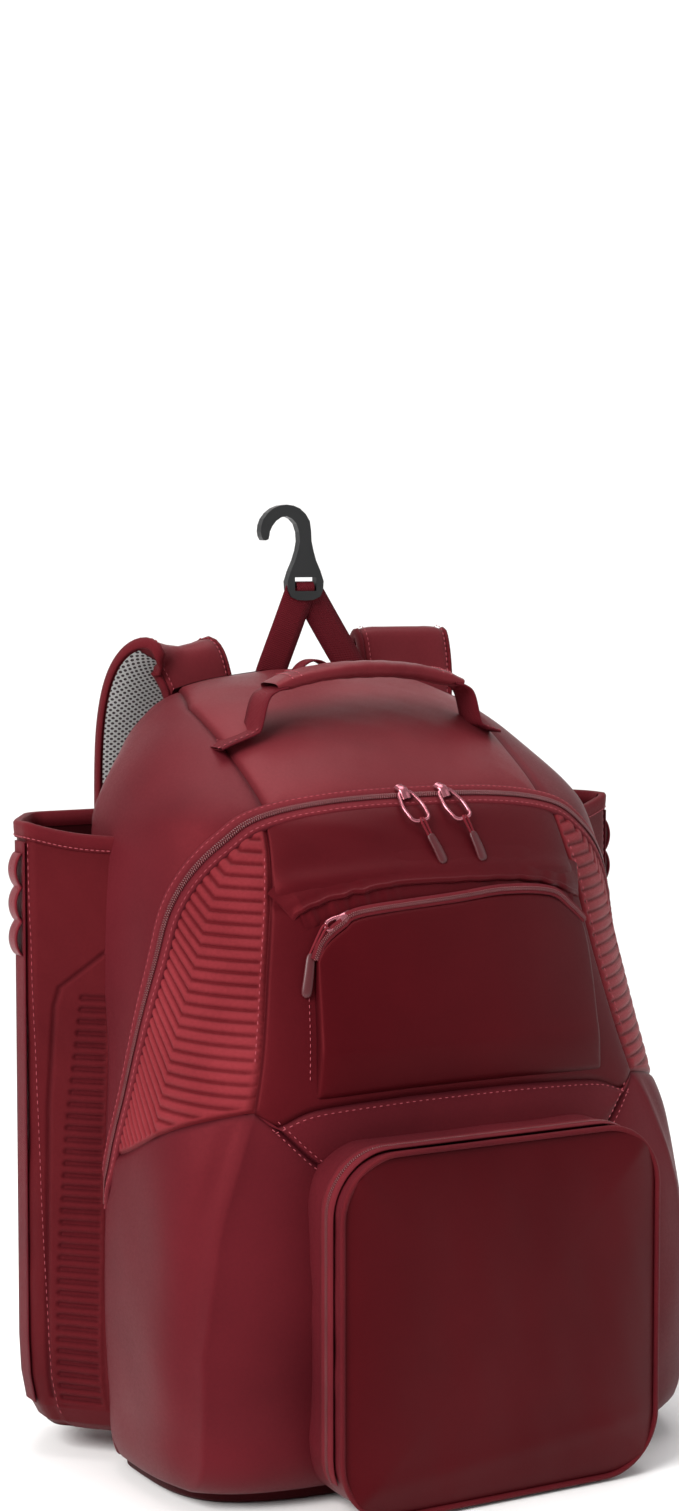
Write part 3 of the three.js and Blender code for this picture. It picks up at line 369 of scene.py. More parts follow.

# %% [markdown]
# The bag's cloth is dyed maroon and lightly coated, so it has a broad, dull highlight. The colour
# drifts a little, and it is darker where the piece's own seam attribute is high: that attribute is
# painted shade, laid in seams, grooves, creases and under folds.

# %% Cloth materials


def new_material(name):
    """A material with its node tree and its own shader."""
    material = bpy.data.materials.new(name)
    material.use_nodes = True
    return material, material.node_tree, material.node_tree.nodes["Principled BSDF"]


def cloud_node(tree):
    cloud = tree.nodes.new("ShaderNodeGroup")
    cloud.node_tree = CLOUD
    tree.links.new(tree.nodes.new("ShaderNodeTexCoord").outputs["Object"], cloud.inputs["Place"])
    return cloud


def attribute_node(tree, name):
    node = tree.nodes.new("ShaderNodeAttribute")
    node.attribute_name = name
    return node


def set_colour(tree, shader, mask, light, dark):
    """Gives the shader a colour between two, by a mask; light is a colour code or a socket."""
    colour = tree.nodes.new("ShaderNodeMix")
    colour.data_type = "RGBA"
    tree.links.new(mask, colour.inputs["Factor"])
    if isinstance(light, str):
        colour.inputs["A"].default_value = srgb(light)
    else:
        tree.links.new(light, colour.inputs["A"])
    colour.inputs["B"].default_value = srgb(dark)
    tree.links.new(colour.outputs["Result"], shader.inputs["Base Color"])


def set_relief(tree, shader, height, strength, distance):
    relief = tree.nodes.new("ShaderNodeBump")
    relief.inputs["Strength"].default_value = strength
    relief.inputs["Distance"].default_value = distance
    tree.links.new(height, relief.inputs["Height"])
    tree.links.new(relief.outputs["Normal"], shader.inputs["Normal"])


def cloth(name, light, dark, rough=0.5, thread=0.8, bump=0.12, sheen=0.01, specular=0.28, along=None):
    """A woven cloth that runs between two colours, with painted shade in its seams and a fine thread relief.
    """
    material, tree, shader = new_material(name)
    cloud = cloud_node(tree)
    # The seam attribute is painted shade: it moves the colour towards the dark one in seams and grooves.
    seam = attribute_node(tree, "seam")
    drift = math_node(tree, "MULTIPLY_ADD", cloud.outputs["Mask"], 1.6, -0.55)
    fibre = math_node(tree, "MULTIPLY_ADD", cloud.outputs["Fine"], 0.35, -0.17)
    amount = math_node(tree, "ADD", math_node(tree, "ADD", drift, fibre), seam.outputs["Fac"])
    clamp = tree.nodes.new("ShaderNodeClamp")
    tree.links.new(amount, clamp.inputs["Value"])
    set_colour(tree, shader, clamp.outputs[0], light, dark)
    roughness = math_node(tree, "MULTIPLY_ADD", cloud.outputs["Fine"], 0.16, rough - 0.08)
    tree.links.new(roughness, shader.inputs["Roughness"])
    weave = tree.nodes.new("ShaderNodeGroup")
    weave.node_tree = WEAVE
    tree.links.new(attribute_node(tree, "flat").outputs["Vector"], weave.inputs["Flat"])
    weave.inputs["Across"].default_value = thread
    weave.inputs["Along"].default_value = along or thread
    grain = math_node(tree, "MULTIPLY_ADD", cloud.outputs["Fine"], 0.7, weave.outputs["Height"])
    set_relief(tree, shader, grain, bump, 0.0006)
    shader.inputs["Sheen Weight"].default_value = sheen
    shader.inputs["Sheen Roughness"].default_value = 0.45
    shader.inputs["Sheen Tint"].default_value = srgb("e8a0a4")
    shader.inputs["Specular IOR Level"].default_value = specular
    shader.inputs["Specular Tint"].default_value = srgb("ff666e")
    return material


body_cloth = cloth("body_cloth", "55181f", "370d13", rough=0.5)
# Painted light: the top, the straps and the grip are coloured lighter than the body for the light on them.
top_cloth_painted_light = cloth("top_cloth_painted_light", "642228", "421116", rough=0.46)
# Painted shade: the front's smooth cloth is coloured darker than the body for the shade on the front.
dark_cloth = cloth("dark_cloth", "490f15", "30060b", rough=0.44, thread=0.6)
# Painted shade: the pockets' faces are coloured darker still for the shade on them.
shaded_pocket_cloth = cloth("shaded_pocket_cloth", "41090f", "2d0408", rough=0.42, thread=0.6)
# Painted highlight: the ribbed shoulders are coloured brighter than the body for the highlight on them.
ribbed_cloth_painted_highlight = cloth("ribbed_cloth_painted_highlight", "822e34", "4e1217", rough=0.48, bump=0.3, thread=1.1)
sleeve_cloth = cloth("sleeve_cloth", "4c1318", "31080d", rough=0.55, bump=0.3)
binding_cloth = cloth("binding_cloth", "59181e", "380b13", rough=0.6, thread=1.0, bump=0.5)
tape_cloth = cloth("tape_cloth", "6c232a", "47141b", rough=0.62, thread=0.9, bump=0.5)
webbing_cloth = cloth("webbing_cloth", "5f1921", "3b0d16", rough=0.6, thread=1.9, along=1.5, bump=0.9)
back_cloth = cloth("back_cloth", "420f16", "29060a", rough=0.7, thread=1.6, bump=0.8)
lining_cloth = cloth("lining_cloth", "2a0a0d", "180406", rough=0.8)
thread_cloth = cloth("thread_cloth", "a6515a", "7d343b", rough=0.55, sheen=0.1)
dark_thread = cloth("dark_thread", "6a222a", "4a1218", rough=0.55)
print("cloths made:", len(bpy.data.materials))

# %% [markdown]
# The strap lining is an open spacer mesh: light threads round dark holes. The hook is moulded plastic,
# the sliders are painted cast metal and their pulls soft rubber.

# %% Mesh, plastic, metal and rubber


def open_mesh(name, light, hole, pitch):
    """Threads round rows of holes: two rows of round cells, the second one set half a cell over."""
    material = cloth(name, light, "8d8f8e", rough=0.7, thread=1.0, bump=0.4)
    tree = material.node_tree
    shader = tree.nodes["Principled BSDF"]
    split = tree.nodes.new("ShaderNodeSeparateXYZ")
    tree.links.new(attribute_node(tree, "flat").outputs["Vector"], split.inputs[0])
    nearest = []
    for shift in (0.0, 0.5):
        cells = []
        for axis, size in ((0, pitch), (1, pitch * 0.62)):
            turns = math_node(tree, "MULTIPLY_ADD", split.outputs[axis], 1 / size, shift)
            part = math_node(tree, "SUBTRACT", math_node(tree, "FRACT", turns), 0.5)
            cells.append(math_node(tree, "MULTIPLY", part, part))
        nearest.append(math_node(tree, "ADD", *cells))
    both = math_node(tree, "MINIMUM", *nearest)
    mask = math_node(tree, "LESS_THAN", both, 0.055)
    set_colour(tree, shader, mask, shader.inputs["Base Color"].links[0].from_socket, hole)
    return material


def moulded(name, light, dark, rough, metal=0.0, bump=0.05):
    """A moulded or cast surface with a fine grain, and a colour that is rubbed a little in places."""
    material, tree, shader = new_material(name)
    cloud = cloud_node(tree)
    cloud.inputs["Scale"].default_value = 40.0
    set_colour(tree, shader, cloud.outputs["Mask"], light, dark)
    roughness = math_node(tree, "MULTIPLY_ADD", cloud.outputs["Fine"], 0.2, rough - 0.1)
    tree.links.new(roughness, shader.inputs["Roughness"])
    set_relief(tree, shader, cloud.outputs["Fine"], bump, 0.0004)
    shader.inputs["Metallic"].default_value = metal
    return material


strap_mesh = open_mesh("strap_mesh", "c9cbca", "3a3a3c", 5.2)
hook_plastic = moulded("hook_plastic", "1c1d1e", "111213", 0.38, bump=0.1)
slider_metal = moulded("slider_metal", "c07a84", "8e4652", 0.24, metal=0.8)
pull_rubber = moulded("pull_rubber", "511319", "3e0c13", 0.42)
coil_nylon = moulded("coil_nylon", "67252b", "4d1318", 0.34, bump=0.1)
print("materials:", len(bpy.data.materials))

# %% [markdown]
# ## Seam lines on the body
#
# Each seam is written in the view it is plain in, from the side or from the front, and then laid on the
# body as arc share and height.

# %% Seam lines
OPENING = np.array([(-118.5, -19), (-112, 60), (-108, 130), (-112, 168), (-131, 254), (-141, 312),
                    (-146, 347.5), (-157.6, 384), (-166.6, 408), (-213, 454.5)])
CHEST_SEAM = [(133.0, 234), (125, 263), (118, 297), (111, 336), (104, 376), (101.5, 398)]
WAIST_SEAM = [(0, 237.5), (47, 237), (97, 234), (122, 226)]
YOKE_SEAM = [(133, 234), (122, 226), (104, 207), (87, 194)]
SHOULDER_EDGE = [(-209, 234), (-193, 228), (-183, 224), (-170, 218), (-142, 204), (-119, 196)]

opening_line = smooth_line(OPENING, 400)


def opening_y(z):
    return np.interp(z, opening_line[:, 1], opening_line[:, 0])


def on_side(points, count):
    """A seam drawn from the side, as (arc share, height) pairs on the right half."""
    line = smooth_line(points, count)
    return np.stack([share_at(line[:, 1], y=line[:, 0]), line[:, 1]], axis=1)


def on_front(points, count):
    line = smooth_line(points, count)
    return np.stack([share_at(line[:, 1], x=line[:, 0]), line[:, 1]], axis=1)


def opening_half():
    """The zip's middle line on the right half, from the ground to the middle of the front."""
    levels = np.linspace(2, 440, 1200)
    t = share_at(levels, y=opening_y(levels))
    p = body(t, levels)
    side = p[:, 0] > 60
    low = np.stack([t[side], levels[side]], axis=1)
    xs = np.linspace(p[side][-1, 0], 0, 60)[1:]
    z = np.linspace(395, 440, 500)
    rows = []
    for x in xs:
        gap = body(share_at(z, x=x), z)[:, 1] - opening_y(z)
        k = int(np.argmax(gap > 0))
        rows.append((share_at(z[k:k + 1], x=x)[0], z[k]))
    return np.vstack([low, rows])


opening_share = opening_half()
zip_points = body(opening_share[:, 0], opening_share[:, 1])
print("zip crosses the front at", round(float(zip_points[-1, 2]), 1), "mm")

# %% [markdown]
# ## Panels
#
# A panel is a sheet between four seam lines. It is spread between them on the flat layout (arc share,
# height), laid on the body, and raised along the body's outward direction: low in the seams, full a few
# millimetres away from them, with slack waves where the cloth hangs.

# %% Panel maker


def spread(left, right, bottom, top, columns, rows):
    """Fills four border lines: the sum of the two ruled sheets less the sheet of the corners."""
    left, right = even(left, rows)[:, None], even(right, rows)[:, None]
    bottom, top = even(bottom, columns)[None], even(top, columns)[None]
    u = np.linspace(0, 1, columns)[None, :, None]
    v = np.linspace(0, 1, rows)[:, None, None]
    corners = (
        (1 - u) * (1 - v) * bottom[:, :1] + u * (1 - v) * bottom[:, -1:]
        + (1 - u) * v * top[:, :1] + u * v * top[:, -1:]
    )
    return (1 - v) * bottom + v * top + (1 - u) * left + u * right - corners


def edge_runs(p):
    """Distances along the sheet from its left, right, bottom and top borders."""
    across = np.linalg.norm(np.diff(p, axis=1), axis=2)
    up = np.linalg.norm(np.diff(p, axis=0), axis=2)
    u = np.concatenate([np.zeros((len(p), 1)), np.cumsum(across, axis=1)], axis=1)
    v = np.concatenate([np.zeros((1, p.shape[1])), np.cumsum(up, axis=0)], axis=0)
    return u, u[:, -1:] - u, v, v[-1:] - v


def sheet_piece(name, p, normals, lift, material, seam=0.0, flip=False, flat=None):
    """Makes a piece from a grid of points raised along its normals; flat is a pair of layout grids."""
    across, along = edge_runs(p)[::2] if flat is None else flat
    faces = grid_faces(*p.shape[:2])
    if flip:
        faces = faces[:, ::-1]
    attributes = cloth_layout(across, along, p.shape[:2], seam)
    return new_object(name, p + normals * lift[..., None], faces, material, attributes=attributes)


def puff(distance, rise=1.6, seam=1.4, reach=9.0):
    """Rises from a narrow seam ditch at a border to a full panel."""
    return rise * (1 - np.exp(-distance / reach)) - seam * np.exp(-((distance / 1.7) ** 2))


def body_panel(name, side, borders, material, nodes, step=2.0, relief=None, slack=0.5, rise=1.6,
               slot="body_cloth"):
    """A panel on the right half of the body, or its mirror image on the left."""
    left, right, bottom, top = borders
    ends = [body(np.array(b)[:, 0], np.array(b)[:, 1]) for b in borders]
    columns = int(max(length_of(ends[2]), length_of(ends[3])) / step) + 2
    rows = int(max(length_of(ends[0]), length_of(ends[1])) / step) + 2
    layout = spread(left, right, bottom, top, columns, rows)
    t, z = layout[..., 0], layout[..., 1]
    p, n = body(t, z), normal_at(t, z)
    runs = edge_runs(p)
    distance = np.minimum.reduce(runs)
    lift = puff(distance, rise) + slack * wave(p * (side, 1, 1), 7, 95) * (1 - np.exp(-distance / 20))
    # Painted shade: darker in the seams round the panel, and wherever the relief adds shade.
    seam = 0.75 * np.exp(-((distance / 2.2) ** 2))
    if relief is not None:
        more, shade = relief(p, runs, distance)
        lift, seam = lift + more, seam + shade
    p, n = p * (side, 1, 1), n * (side, 1, 1)
    dress(sheet_piece(name, p, n, lift, material, seam, flip=side < 0), slot, *nodes)


def dress(piece, slot, *nodes):
    """Ties a piece to the model: it rides on the root, and stands for the nodes named."""
    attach(piece, "root")
    if nodes:
        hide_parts(*nodes)


SIDES = (("left", -1), ("right", 1))
print("panel maker ready")

# %% [markdown]
# The rear half of the body is one top panel and two side panels behind the zip. On the real bag they are
# cut from coated cloth over thin foam, so they stay smooth, with broad shallow waves.

# %% Rear panels
BASE_TOP = 9.0
REAR_EDGE = -9.0
TOP_HALF = 98.0


def roof_z(x, y):
    """Height of the body above a place seen from above: halves an interval until the section fits."""
    x, y = np.broadcast_arrays(np.asarray(x, dtype=float), np.asarray(y, dtype=float))
    low, high = np.full(x.shape, 330.0), np.full(x.shape, BODY_H)
    for _ in range(22):
        middle = (low + high) / 2
        wide, back, widest, front, fr, br = section_sizes(middle)
        across = np.clip(np.abs(x) / wide, 0, 1)
        near = -widest - (front - widest) * (1 - across**fr) ** (1 / fr)
        inside = (np.abs(x) < wide) & (near < y)
        low, high = np.where(inside, middle, low), np.where(inside, high, middle)
    return (low + high) / 2


def grid_normals(p):
    du, dv = np.gradient(p, axis=1), np.gradient(p, axis=0)
    return unit(np.cross(du, dv))


def top_panel():
    columns, rows = 108, 100
    across = np.linspace(-TOP_HALF, TOP_HALF, columns)
    half = zip_points[zip_points[:, 0] < TOP_HALF + 4][::-1]
    front_y = np.interp(np.abs(across), half[:, 0], half[:, 1])
    v = np.linspace(0, 1, rows)[:, None]
    y = front_y[None] * (1 - v) + REAR_EDGE * v
    narrow = np.interp(y, [-160, -56, REAR_EDGE], [TOP_HALF, 99, 84]) / TOP_HALF
    x = across[None] * narrow
    z = roof_z(x, y)
    p = np.stack([x, y, z], axis=-1)
    n = grid_normals(p)
    runs = edge_runs(p)
    distance = np.minimum.reduce(runs)
    # The cloth hangs slack between the handle's feet, and is pulled into ripples behind the zip.
    ripple = 1.1 * wave(p * (1, 0.45, 0.3), 3, 80) + 0.15 * wave(p, 5, 30)
    lift = puff(distance, 2.4, 1.6, 12) + ripple * (1 - np.exp(-distance / 16))
    # Painted shade in the seams round the panel's edge.
    seam = 0.8 * np.exp(-((distance / 2.4) ** 2))
    piece = sheet_piece("top_cover", p, n, lift, top_cloth_painted_light, seam)
    dress(piece, "body_cloth", "top_panel")
    return p, n


top_grid, top_normals = top_panel()


def side_borders():
    """Front: the opening seam. Rear: the back panel's edge. Top: the seam with the top panel."""
    levels = np.linspace(BASE_TOP, 400, 200)
    front = np.stack([share_at(levels, y=opening_y(levels)), levels], axis=1)
    above = opening_share[(opening_share[:, 1] > 400) & (zip_points[:, 0] > TOP_HALF)]
    front = np.vstack([front, above])
    edge = top_grid[:, -1]
    top = np.stack([share_at(edge[:, 2], y=edge[:, 1]), edge[:, 2]], axis=1)
    levels = np.linspace(BASE_TOP, top[-1, 1], 200)
    rear = np.stack([share_at(levels, y=REAR_EDGE), levels], axis=1)
    front[-1] = top[0]
    rear[-1] = top[-1]
    floor_t = np.linspace(front[0, 0], rear[0, 0], 40)
    bottom = np.stack([floor_t, np.full(40, BASE_TOP)], axis=1)
    return front, rear, bottom, top


for name, side in SIDES:
    body_panel(f"side_cover_{name}", side, side_borders(), body_cloth, [f"side_panel_{name}"],
               slack=1.1, rise=1.4)
print("rear panels made")

# %% [markdown]
# The ribbed shoulders are pressed in a hot tool on the real bag: a foam-backed cloth with narrow grooves
# that are level on the front, turn at a fold line, and rise towards the zip. The grooves are cut into the
# sheet's relief, a little deeper towards the bottom, and end just short of the seams. Painted shade
# darkens them.

# %% Ribbed shoulders
RIB_PITCH = 6.75
TURN_Y = -166.0
CHEST_SIDE = 101.0


def rib_relief(p, runs, distance):
    behind = np.clip(p[..., 1] - TURN_Y, 0, None)
    front = np.clip(TURN_Y - p[..., 1], 0, None)
    level = p[..., 2] - 1.12 * behind + 0.10 * front
    phase = np.mod(level / RIB_PITCH, 1.0)
    groove = np.exp(-(((phase - 0.5) / 0.17) ** 2))
    deep = np.interp(p[..., 2], [220, 390], [1.7, 1.1])
    ends = np.clip((distance - 2.5) / 2.0, 0, 1)
    # A shallow pressed crease follows the fold line itself.
    crease = 0.5 * np.exp(-(((p[..., 1] - TURN_Y) / 3.5) ** 2))
    # The second value is painted shade in the grooves.
    return -deep * groove * ends + crease, 0.62 * groove * ends


def shoulder_borders():
    chest = on_front(CHEST_SEAM, 120)
    lower = on_side(SHOULDER_EDGE, 160)
    keep = (opening_share[:, 1] >= 196) & (zip_points[:, 0] >= CHEST_SIDE)
    rear = opening_share[keep]
    lower = lower[::-1]
    lower = np.vstack([lower, chest[:1]]) if lower[-1, 0] > chest[0, 0] else lower
    lower[-1] = chest[0]
    lower[0] = rear[0]
    rear[-1] = chest[-1] + (0.012, 0.5)
    top = np.linspace(chest[-1], rear[-1], 12)
    return chest, rear, lower[::-1], top


for name, side in SIDES:
    body_panel(f"ribbed_cover_{name}", side, shoulder_borders(), ribbed_cloth_painted_highlight, [f"ribbed_shoulder_{name}"],
               step=0.95, relief=rib_relief, slack=0.3, rise=1.2, slot="embossed_cloth")
print("ribbed shoulders made")

# %% [markdown]
# The front is smoother cloth, coloured darker than the sides as painted shade. Above the chest pocket
# it is pulled towards the zip sliders and sags into a fold over the pocket's zip. The yoke below it is a
# raised band over the lower pocket.

# %% Front panel and yoke


def front_border(points, count):
    """A border drawn in the front view from the left seam to the right one, as (x, z)."""
    line = smooth_line(points, count)
    share = share_at(line[:, 1], x=np.abs(line[:, 0]))
    return np.stack([share * np.sign(line[:, 0]), line[:, 1]], axis=1)


def front_fold(p, runs, distance):
    x, z = p[..., 0], p[..., 2]
    hood = 360 - 0.0006 * x**2
    fold = 2.6 * np.exp(-(((z - hood - 6) / 7) ** 2)) - 2.0 * np.exp(-(((z - hood + 4) / 4) ** 2))
    pulls = 0.9 * np.exp(-(((x - 6) / 60) ** 2)) * np.exp(-(((z - 398) / 9) ** 2))
    slant = 0.8 * np.exp(-(((z - 384 + 0.16 * x) / 5) ** 2)) * np.exp(-(((x + 30) / 45) ** 2))
    inside = 1 - np.exp(-distance / 6)
    return (fold * np.clip((z - 335) / 12, 0, 1) + pulls + slant) * inside, 0 * x


chest_right = on_front(CHEST_SEAM, 140)
front_top = opening_share[zip_points[:, 0] < CHEST_SIDE]
front_top[0] = chest_right[-1]
front_top = np.vstack([front_top[::-1] * (-1, 1), front_top])
front_top = front_top[np.argsort(front_top[:, 0])]
mirrored = [(-x, z) for x, z in WAIST_SEAM[::-1]] + WAIST_SEAM[1:]
waist_all = front_border([(-133, 234)] + mirrored + [(133, 234)], 161)
front_borders = (chest_right * (-1, 1), chest_right, waist_all, front_top)
body_panel("front_cover", 1, front_borders, dark_cloth, ["front_panel"], relief=front_fold, slack=0.5,
           rise=1.4, slot="dark_cloth")

yoke_right = on_front(YOKE_SEAM[::-1], 60)
yoke_bottom = front_border([(-87, 194), (-40, 193), (40, 193), (87, 194)], 121)
yoke_borders = (yoke_right * (-1, 1), yoke_right, yoke_bottom, waist_all)
body_panel("yoke_cover", 1, yoke_borders, body_cloth, ["yoke_panel"], slack=0.3, rise=2.2)
print("front panel and yoke made")

# %% [markdown]
# The lower panel wraps round both lower corners, from the boxed pocket to the opening seam. A pressed
# fold runs down it where the front turns into the side.

# %% Lower panel
CREASE = np.array([(227, 136), (172, 157), (135, 164), (97, 169), (31, 166)], dtype=float)[::-1]


def lower_relief(p, runs, distance):
    at = np.interp(p[..., 2], CREASE[:, 0], CREASE[:, 1])
    off = np.abs(p[..., 0]) - at
    front = p[..., 1] < -90
    ridge = np.where(front, 2.4 * np.exp(-np.abs(off) / 4.0) - 1.5 * np.exp(-(((off - 8) / 7) ** 2)), 0)
    return ridge * (1 - np.exp(-distance / 8)), 0 * off


def lower_borders():
    """Inner: behind the pocket. Outer: the opening seam. Top: the yoke seam and the shoulder's edge."""
    edge = on_side(SHOULDER_EDGE, 160)
    edge = edge[np.argsort(edge[:, 0])]
    yoke = on_front(YOKE_SEAM[::-1], 60)
    keep = edge[:, 0] > yoke[-1, 0]
    levels = np.linspace(BASE_TOP, 196, 120)
    outer = np.stack([share_at(levels, y=opening_y(levels)), levels], axis=1)
    top = np.vstack([yoke, edge[keep]])
    top[-1] = outer[-1]
    levels = np.linspace(BASE_TOP, 194, 120)
    inner = np.stack([share_at(levels, x=YOKE_SEAM[-1][0]), levels], axis=1)
    inner[-1] = top[0]
    bottom = np.stack([np.linspace(inner[0, 0], outer[0, 0], 60), np.full(60, BASE_TOP)], axis=1)
    return inner, outer, bottom, top


for number, (name, side) in enumerate(SIDES):
    nodes = ["lower_panel"] if number == 0 else []
    body_panel(f"lower_cover_{name}", side, lower_borders(), body_cloth, nodes,
               relief=lower_relief, slack=0.9)
print("lower panels made")

# %% [markdown]
# The base is a band of darker, tougher cloth round the foot, closed by a flat bottom. The back panel
# faces the wearer: a soft sheet with padded ribs and a sunk middle channel.

# %% Base and back


def base_cover():
    shares = np.linspace(-1, 1, 361)
    ring = body(shares, np.full(361, 2.5))
    rows = [(1.0, BASE_TOP + 1.0, 0.4), (1.0, 6.0, 0.9), (1.0, 3.0, 0.6), (0.995, 1.2, 0.0),
            (0.985, 0.6, 0.0)]
    rows += [(scale, 0.6, 0.0) for scale in np.linspace(0.94, 0.0, 14)]
    middle = np.array([0.0, -105.0, 0.0])
    p = np.stack([(ring - middle) * (scale, scale, 0) + middle + (0, 0, z) for scale, z, _ in rows])
    outward = unit((ring - middle) * (1, 1, 0))
    lift = np.array([row[2] for row in rows])[:, None] * np.ones(361)
    piece = sheet_piece("base_cover", p, np.broadcast_to(outward, p.shape), lift, base_cloth, flip=True)
    dress(piece, "dark_cloth", "base_panel")


def back_cover():
    columns, rows = 150, 220
    levels = np.linspace(BASE_TOP, 455, rows)
    start = share_at(levels, y=REAR_EDGE)
    share = start[:, None] + (2 - 2 * start)[:, None] * np.linspace(0, 1, columns)
    t = np.where(share <= 1, share, share - 2)
    z = np.broadcast_to(levels[:, None], t.shape)
    p, n = body(t, z), normal_at(np.clip(np.abs(t), 0, 0.992) * np.sign(t), z)
    n = np.where(np.abs(n[..., 1:2]) > 0.9, np.array([0, 1.0, 0]), n)
    distance = np.minimum.reduce(edge_runs(p))
    across = np.abs(p[..., 0])
    channel = np.exp(-((across / 13) ** 4))
    ribs = 0.75 + 0.25 * np.cos(p[..., 2] / 52 * 2 * np.pi)
    pads = 4.5 * np.clip(1 - ((across - 62) / 44) ** 4, 0, 1) * ribs
    inside = 1 - np.exp(-distance / 10)
    low_end = np.clip((p[..., 2] - 30) / 40, 0, 1)
    high_end = np.clip((430 - p[..., 2]) / 30, 0, 1)
    lift = puff(distance, 1.2) + (pads - 1.5 * channel) * inside * low_end * high_end
    # Painted shade in the seams round the back panel's edge.
    piece = sheet_piece("back_cover", p, n, lift, back_cloth, 0.6 * np.exp(-((distance / 3) ** 2)))
    dress(piece, "dark_cloth", "back_panel")


def back_top_cover():
    """Closes the back over its upper edge, between the top panel and the back panel."""
    rear = top_grid[-1]
    drops = [(0.0, REAR_EDGE), (0.6, -5.0), (2.4, -2.0), (6.0, -0.4), (14.0, 0.4)]
    rows = [np.stack([rear[:, 0], np.full(len(rear), y), rear[:, 2] - drop], axis=1) for drop, y in drops]
    low = np.stack([rear[:, 0] * 1.04, np.full(len(rear), 0.8), np.full(len(rear), 436.0)], axis=1)
    low[:, 2] = np.minimum(low[:, 2], rear[:, 2] - 16)
    p = np.stack(rows + [rows[-1] * 0.5 + low * 0.5, low])
    n = grid_normals(p)
    n = n * np.sign(n[-2, 50, 1])
    cover = sheet_piece("back_top_cover", p, n, np.full(p.shape[:2], 0.6), back_cloth)
    dress(cover, "dark_cloth")


base_cloth = cloth("base_cloth", "2e0a0e", "1c0608", rough=0.6, thread=1.2, bump=0.5)
base_cover()
back_cover()
back_top_cover()
print("base and back made")

# %% [markdown]
# ## Pockets
#
# The lower pocket is a box: a gusset with a zip round it, and a crowned face with a piped edge. Each is
# a closed outline walked round the pocket's front, swept back towards the body.

# %% Outlines and tubes


def rounded_outline(half_width, low, high, corner, count):
    """A rounded box outline in x and z, counter-clockwise seen from the front, starting at the bottom."""
    quarter = np.linspace(0, math.pi / 2, 14)
    points = []
    for cx, cz, turn in ((half_width, low, -90), (half_width, high, 0),
                         (-half_width, high, 90), (-half_width, low, 180)):
        sx, sz = np.sign(cx), (1 if cz == low else -1)
        a = quarter + math.radians(turn)
        x, z = cx - sx * corner + corner * np.cos(a), cz + sz * corner + corner * np.sin(a)
        points.append(np.stack([x, z], axis=1))
    line = np.vstack(points + [points[0][:1]])
    return even(line, count + 1)[:-1]


def tangents(line, closed=False):
    if closed:
        return unit(np.roll(line, -1, axis=0) - np.roll(line, 1, axis=0))
    return unit(np.gradient(line, axis=0))


def tube(name, line, radius, material, up=(0, 0, 1.0), closed=False, sides=10, squash=1.0):
    """A round cord laid along a line; up is one direction or one for each point."""
    line = np.asarray(line, dtype=float)
    side = unit(np.cross(tangents(line, closed), np.broadcast_to(np.asarray(up, dtype=float), line.shape)))
    out = unit(np.cross(side, tangents(line, closed)))
    a = np.linspace(0, 2 * math.pi, sides, endpoint=False)
    across = np.cos(a)[None, :, None] * side[:, None] * radius
    p = line[:, None] + (across + np.sin(a)[None, :, None] * out[:, None] * radius * squash)
    if closed:
        p = np.concatenate([p, p[:1]], axis=0)
    faces = grid_faces(len(p), sides, wrap=True)[:, ::-1]
    attributes = cloth_layout(a * radius, run_along(p[:, 0])[:, None], p.shape[:2])
    return new_object(name, p, faces, material, attributes=attributes)


def ribbon(name, line, out, width, thick, material):
    """A flat band laid along a line: a closed section of ten points, rounded at its edges."""
    side = unit(np.cross(out, tangents(line)))
    h, k = width / 2, thick / 2
    near, far = h - 0.4 * k, 0.8 * k
    section = np.array([(-h, 0), (-near, -far), (-h * 0.5, -k), (h * 0.5, -k), (near, -far),
                        (h, 0), (near, far), (h * 0.5, k), (-h * 0.5, k), (-near, far)])
    p = line[:, None] + section[None, :, :1] * side[:, None] + section[None, :, 1:] * out[:, None]
    faces = grid_faces(len(p), len(section), wrap=True)
    # Painted shade along the band's rounded edges.
    edge = 0.35 * (np.abs(section[:, 0]) > 0.9 * h)
    attributes = cloth_layout(section[:, 0], run_along(p[:, 0])[:, None], p.shape[:2], edge)
    return new_object(name, p, faces, material, attributes=attributes)


def capsules(name, centres, along, out, length, width, height, material, round_steps=6):
    """Many small rounded bars joined in one mesh: stitches and zip teeth."""
    centres, along, out = (np.asarray(v, dtype=float) for v in (centres, along, out))
    side = unit(np.cross(along, out))
    out = unit(np.cross(side, along))
    a = np.linspace(0, 2 * math.pi, round_steps, endpoint=False)
    stations = np.array([(-0.5, 0.0), (-0.42, 0.62), (-0.2, 1.0), (0.2, 1.0), (0.42, 0.62), (0.5, 0.0)])
    ring = (stations[:, None, :1] * length) * along[:, None, None] \
        + np.cos(a)[None, :, None] * stations[:, None, 1:] * (width / 2) * side[:, None, None] \
        + np.sin(a)[None, :, None] * stations[:, None, 1:] * (height / 2) * out[:, None, None]
    p = centres[:, None, None] + ring
    one = grid_faces(len(stations), round_steps, wrap=True)
    count = len(centres)
    faces = (one[None] + (np.arange(count) * len(stations) * round_steps)[:, None, None]).reshape(-1, 4)
    return new_object(name, p.reshape(-1, 3), faces, material)


STITCH_PROUD = 0.25


def stitches(name, line, out, slot, pitch, length, width):
    """A row of sewn stitches along a line, each a small thread loop lying on the cloth."""
    count = max(int(length_of(line) / pitch), 2)
    both = even(np.hstack([line, np.broadcast_to(out, line.shape)]), count)
    n = unit(both[:, 3:])
    centres = both[:, :3] + n * STITCH_PROUD
    row = capsules(name, centres, tangents(both[:, :3]), n, length, width, width, thread_cloth)
    dress(row, slot)


# %% Lower pocket
POCKET_FRONT = -273.0
POCKET_WIDE, POCKET_LOW, POCKET_HIGH, POCKET_CORNER = 108.0, 4.0, 215.0, 36.0


def pocket_outline(inset, count=260):
    return rounded_outline(POCKET_WIDE - inset, POCKET_LOW + inset, POCKET_HIGH - inset,
                           POCKET_CORNER - inset, count)


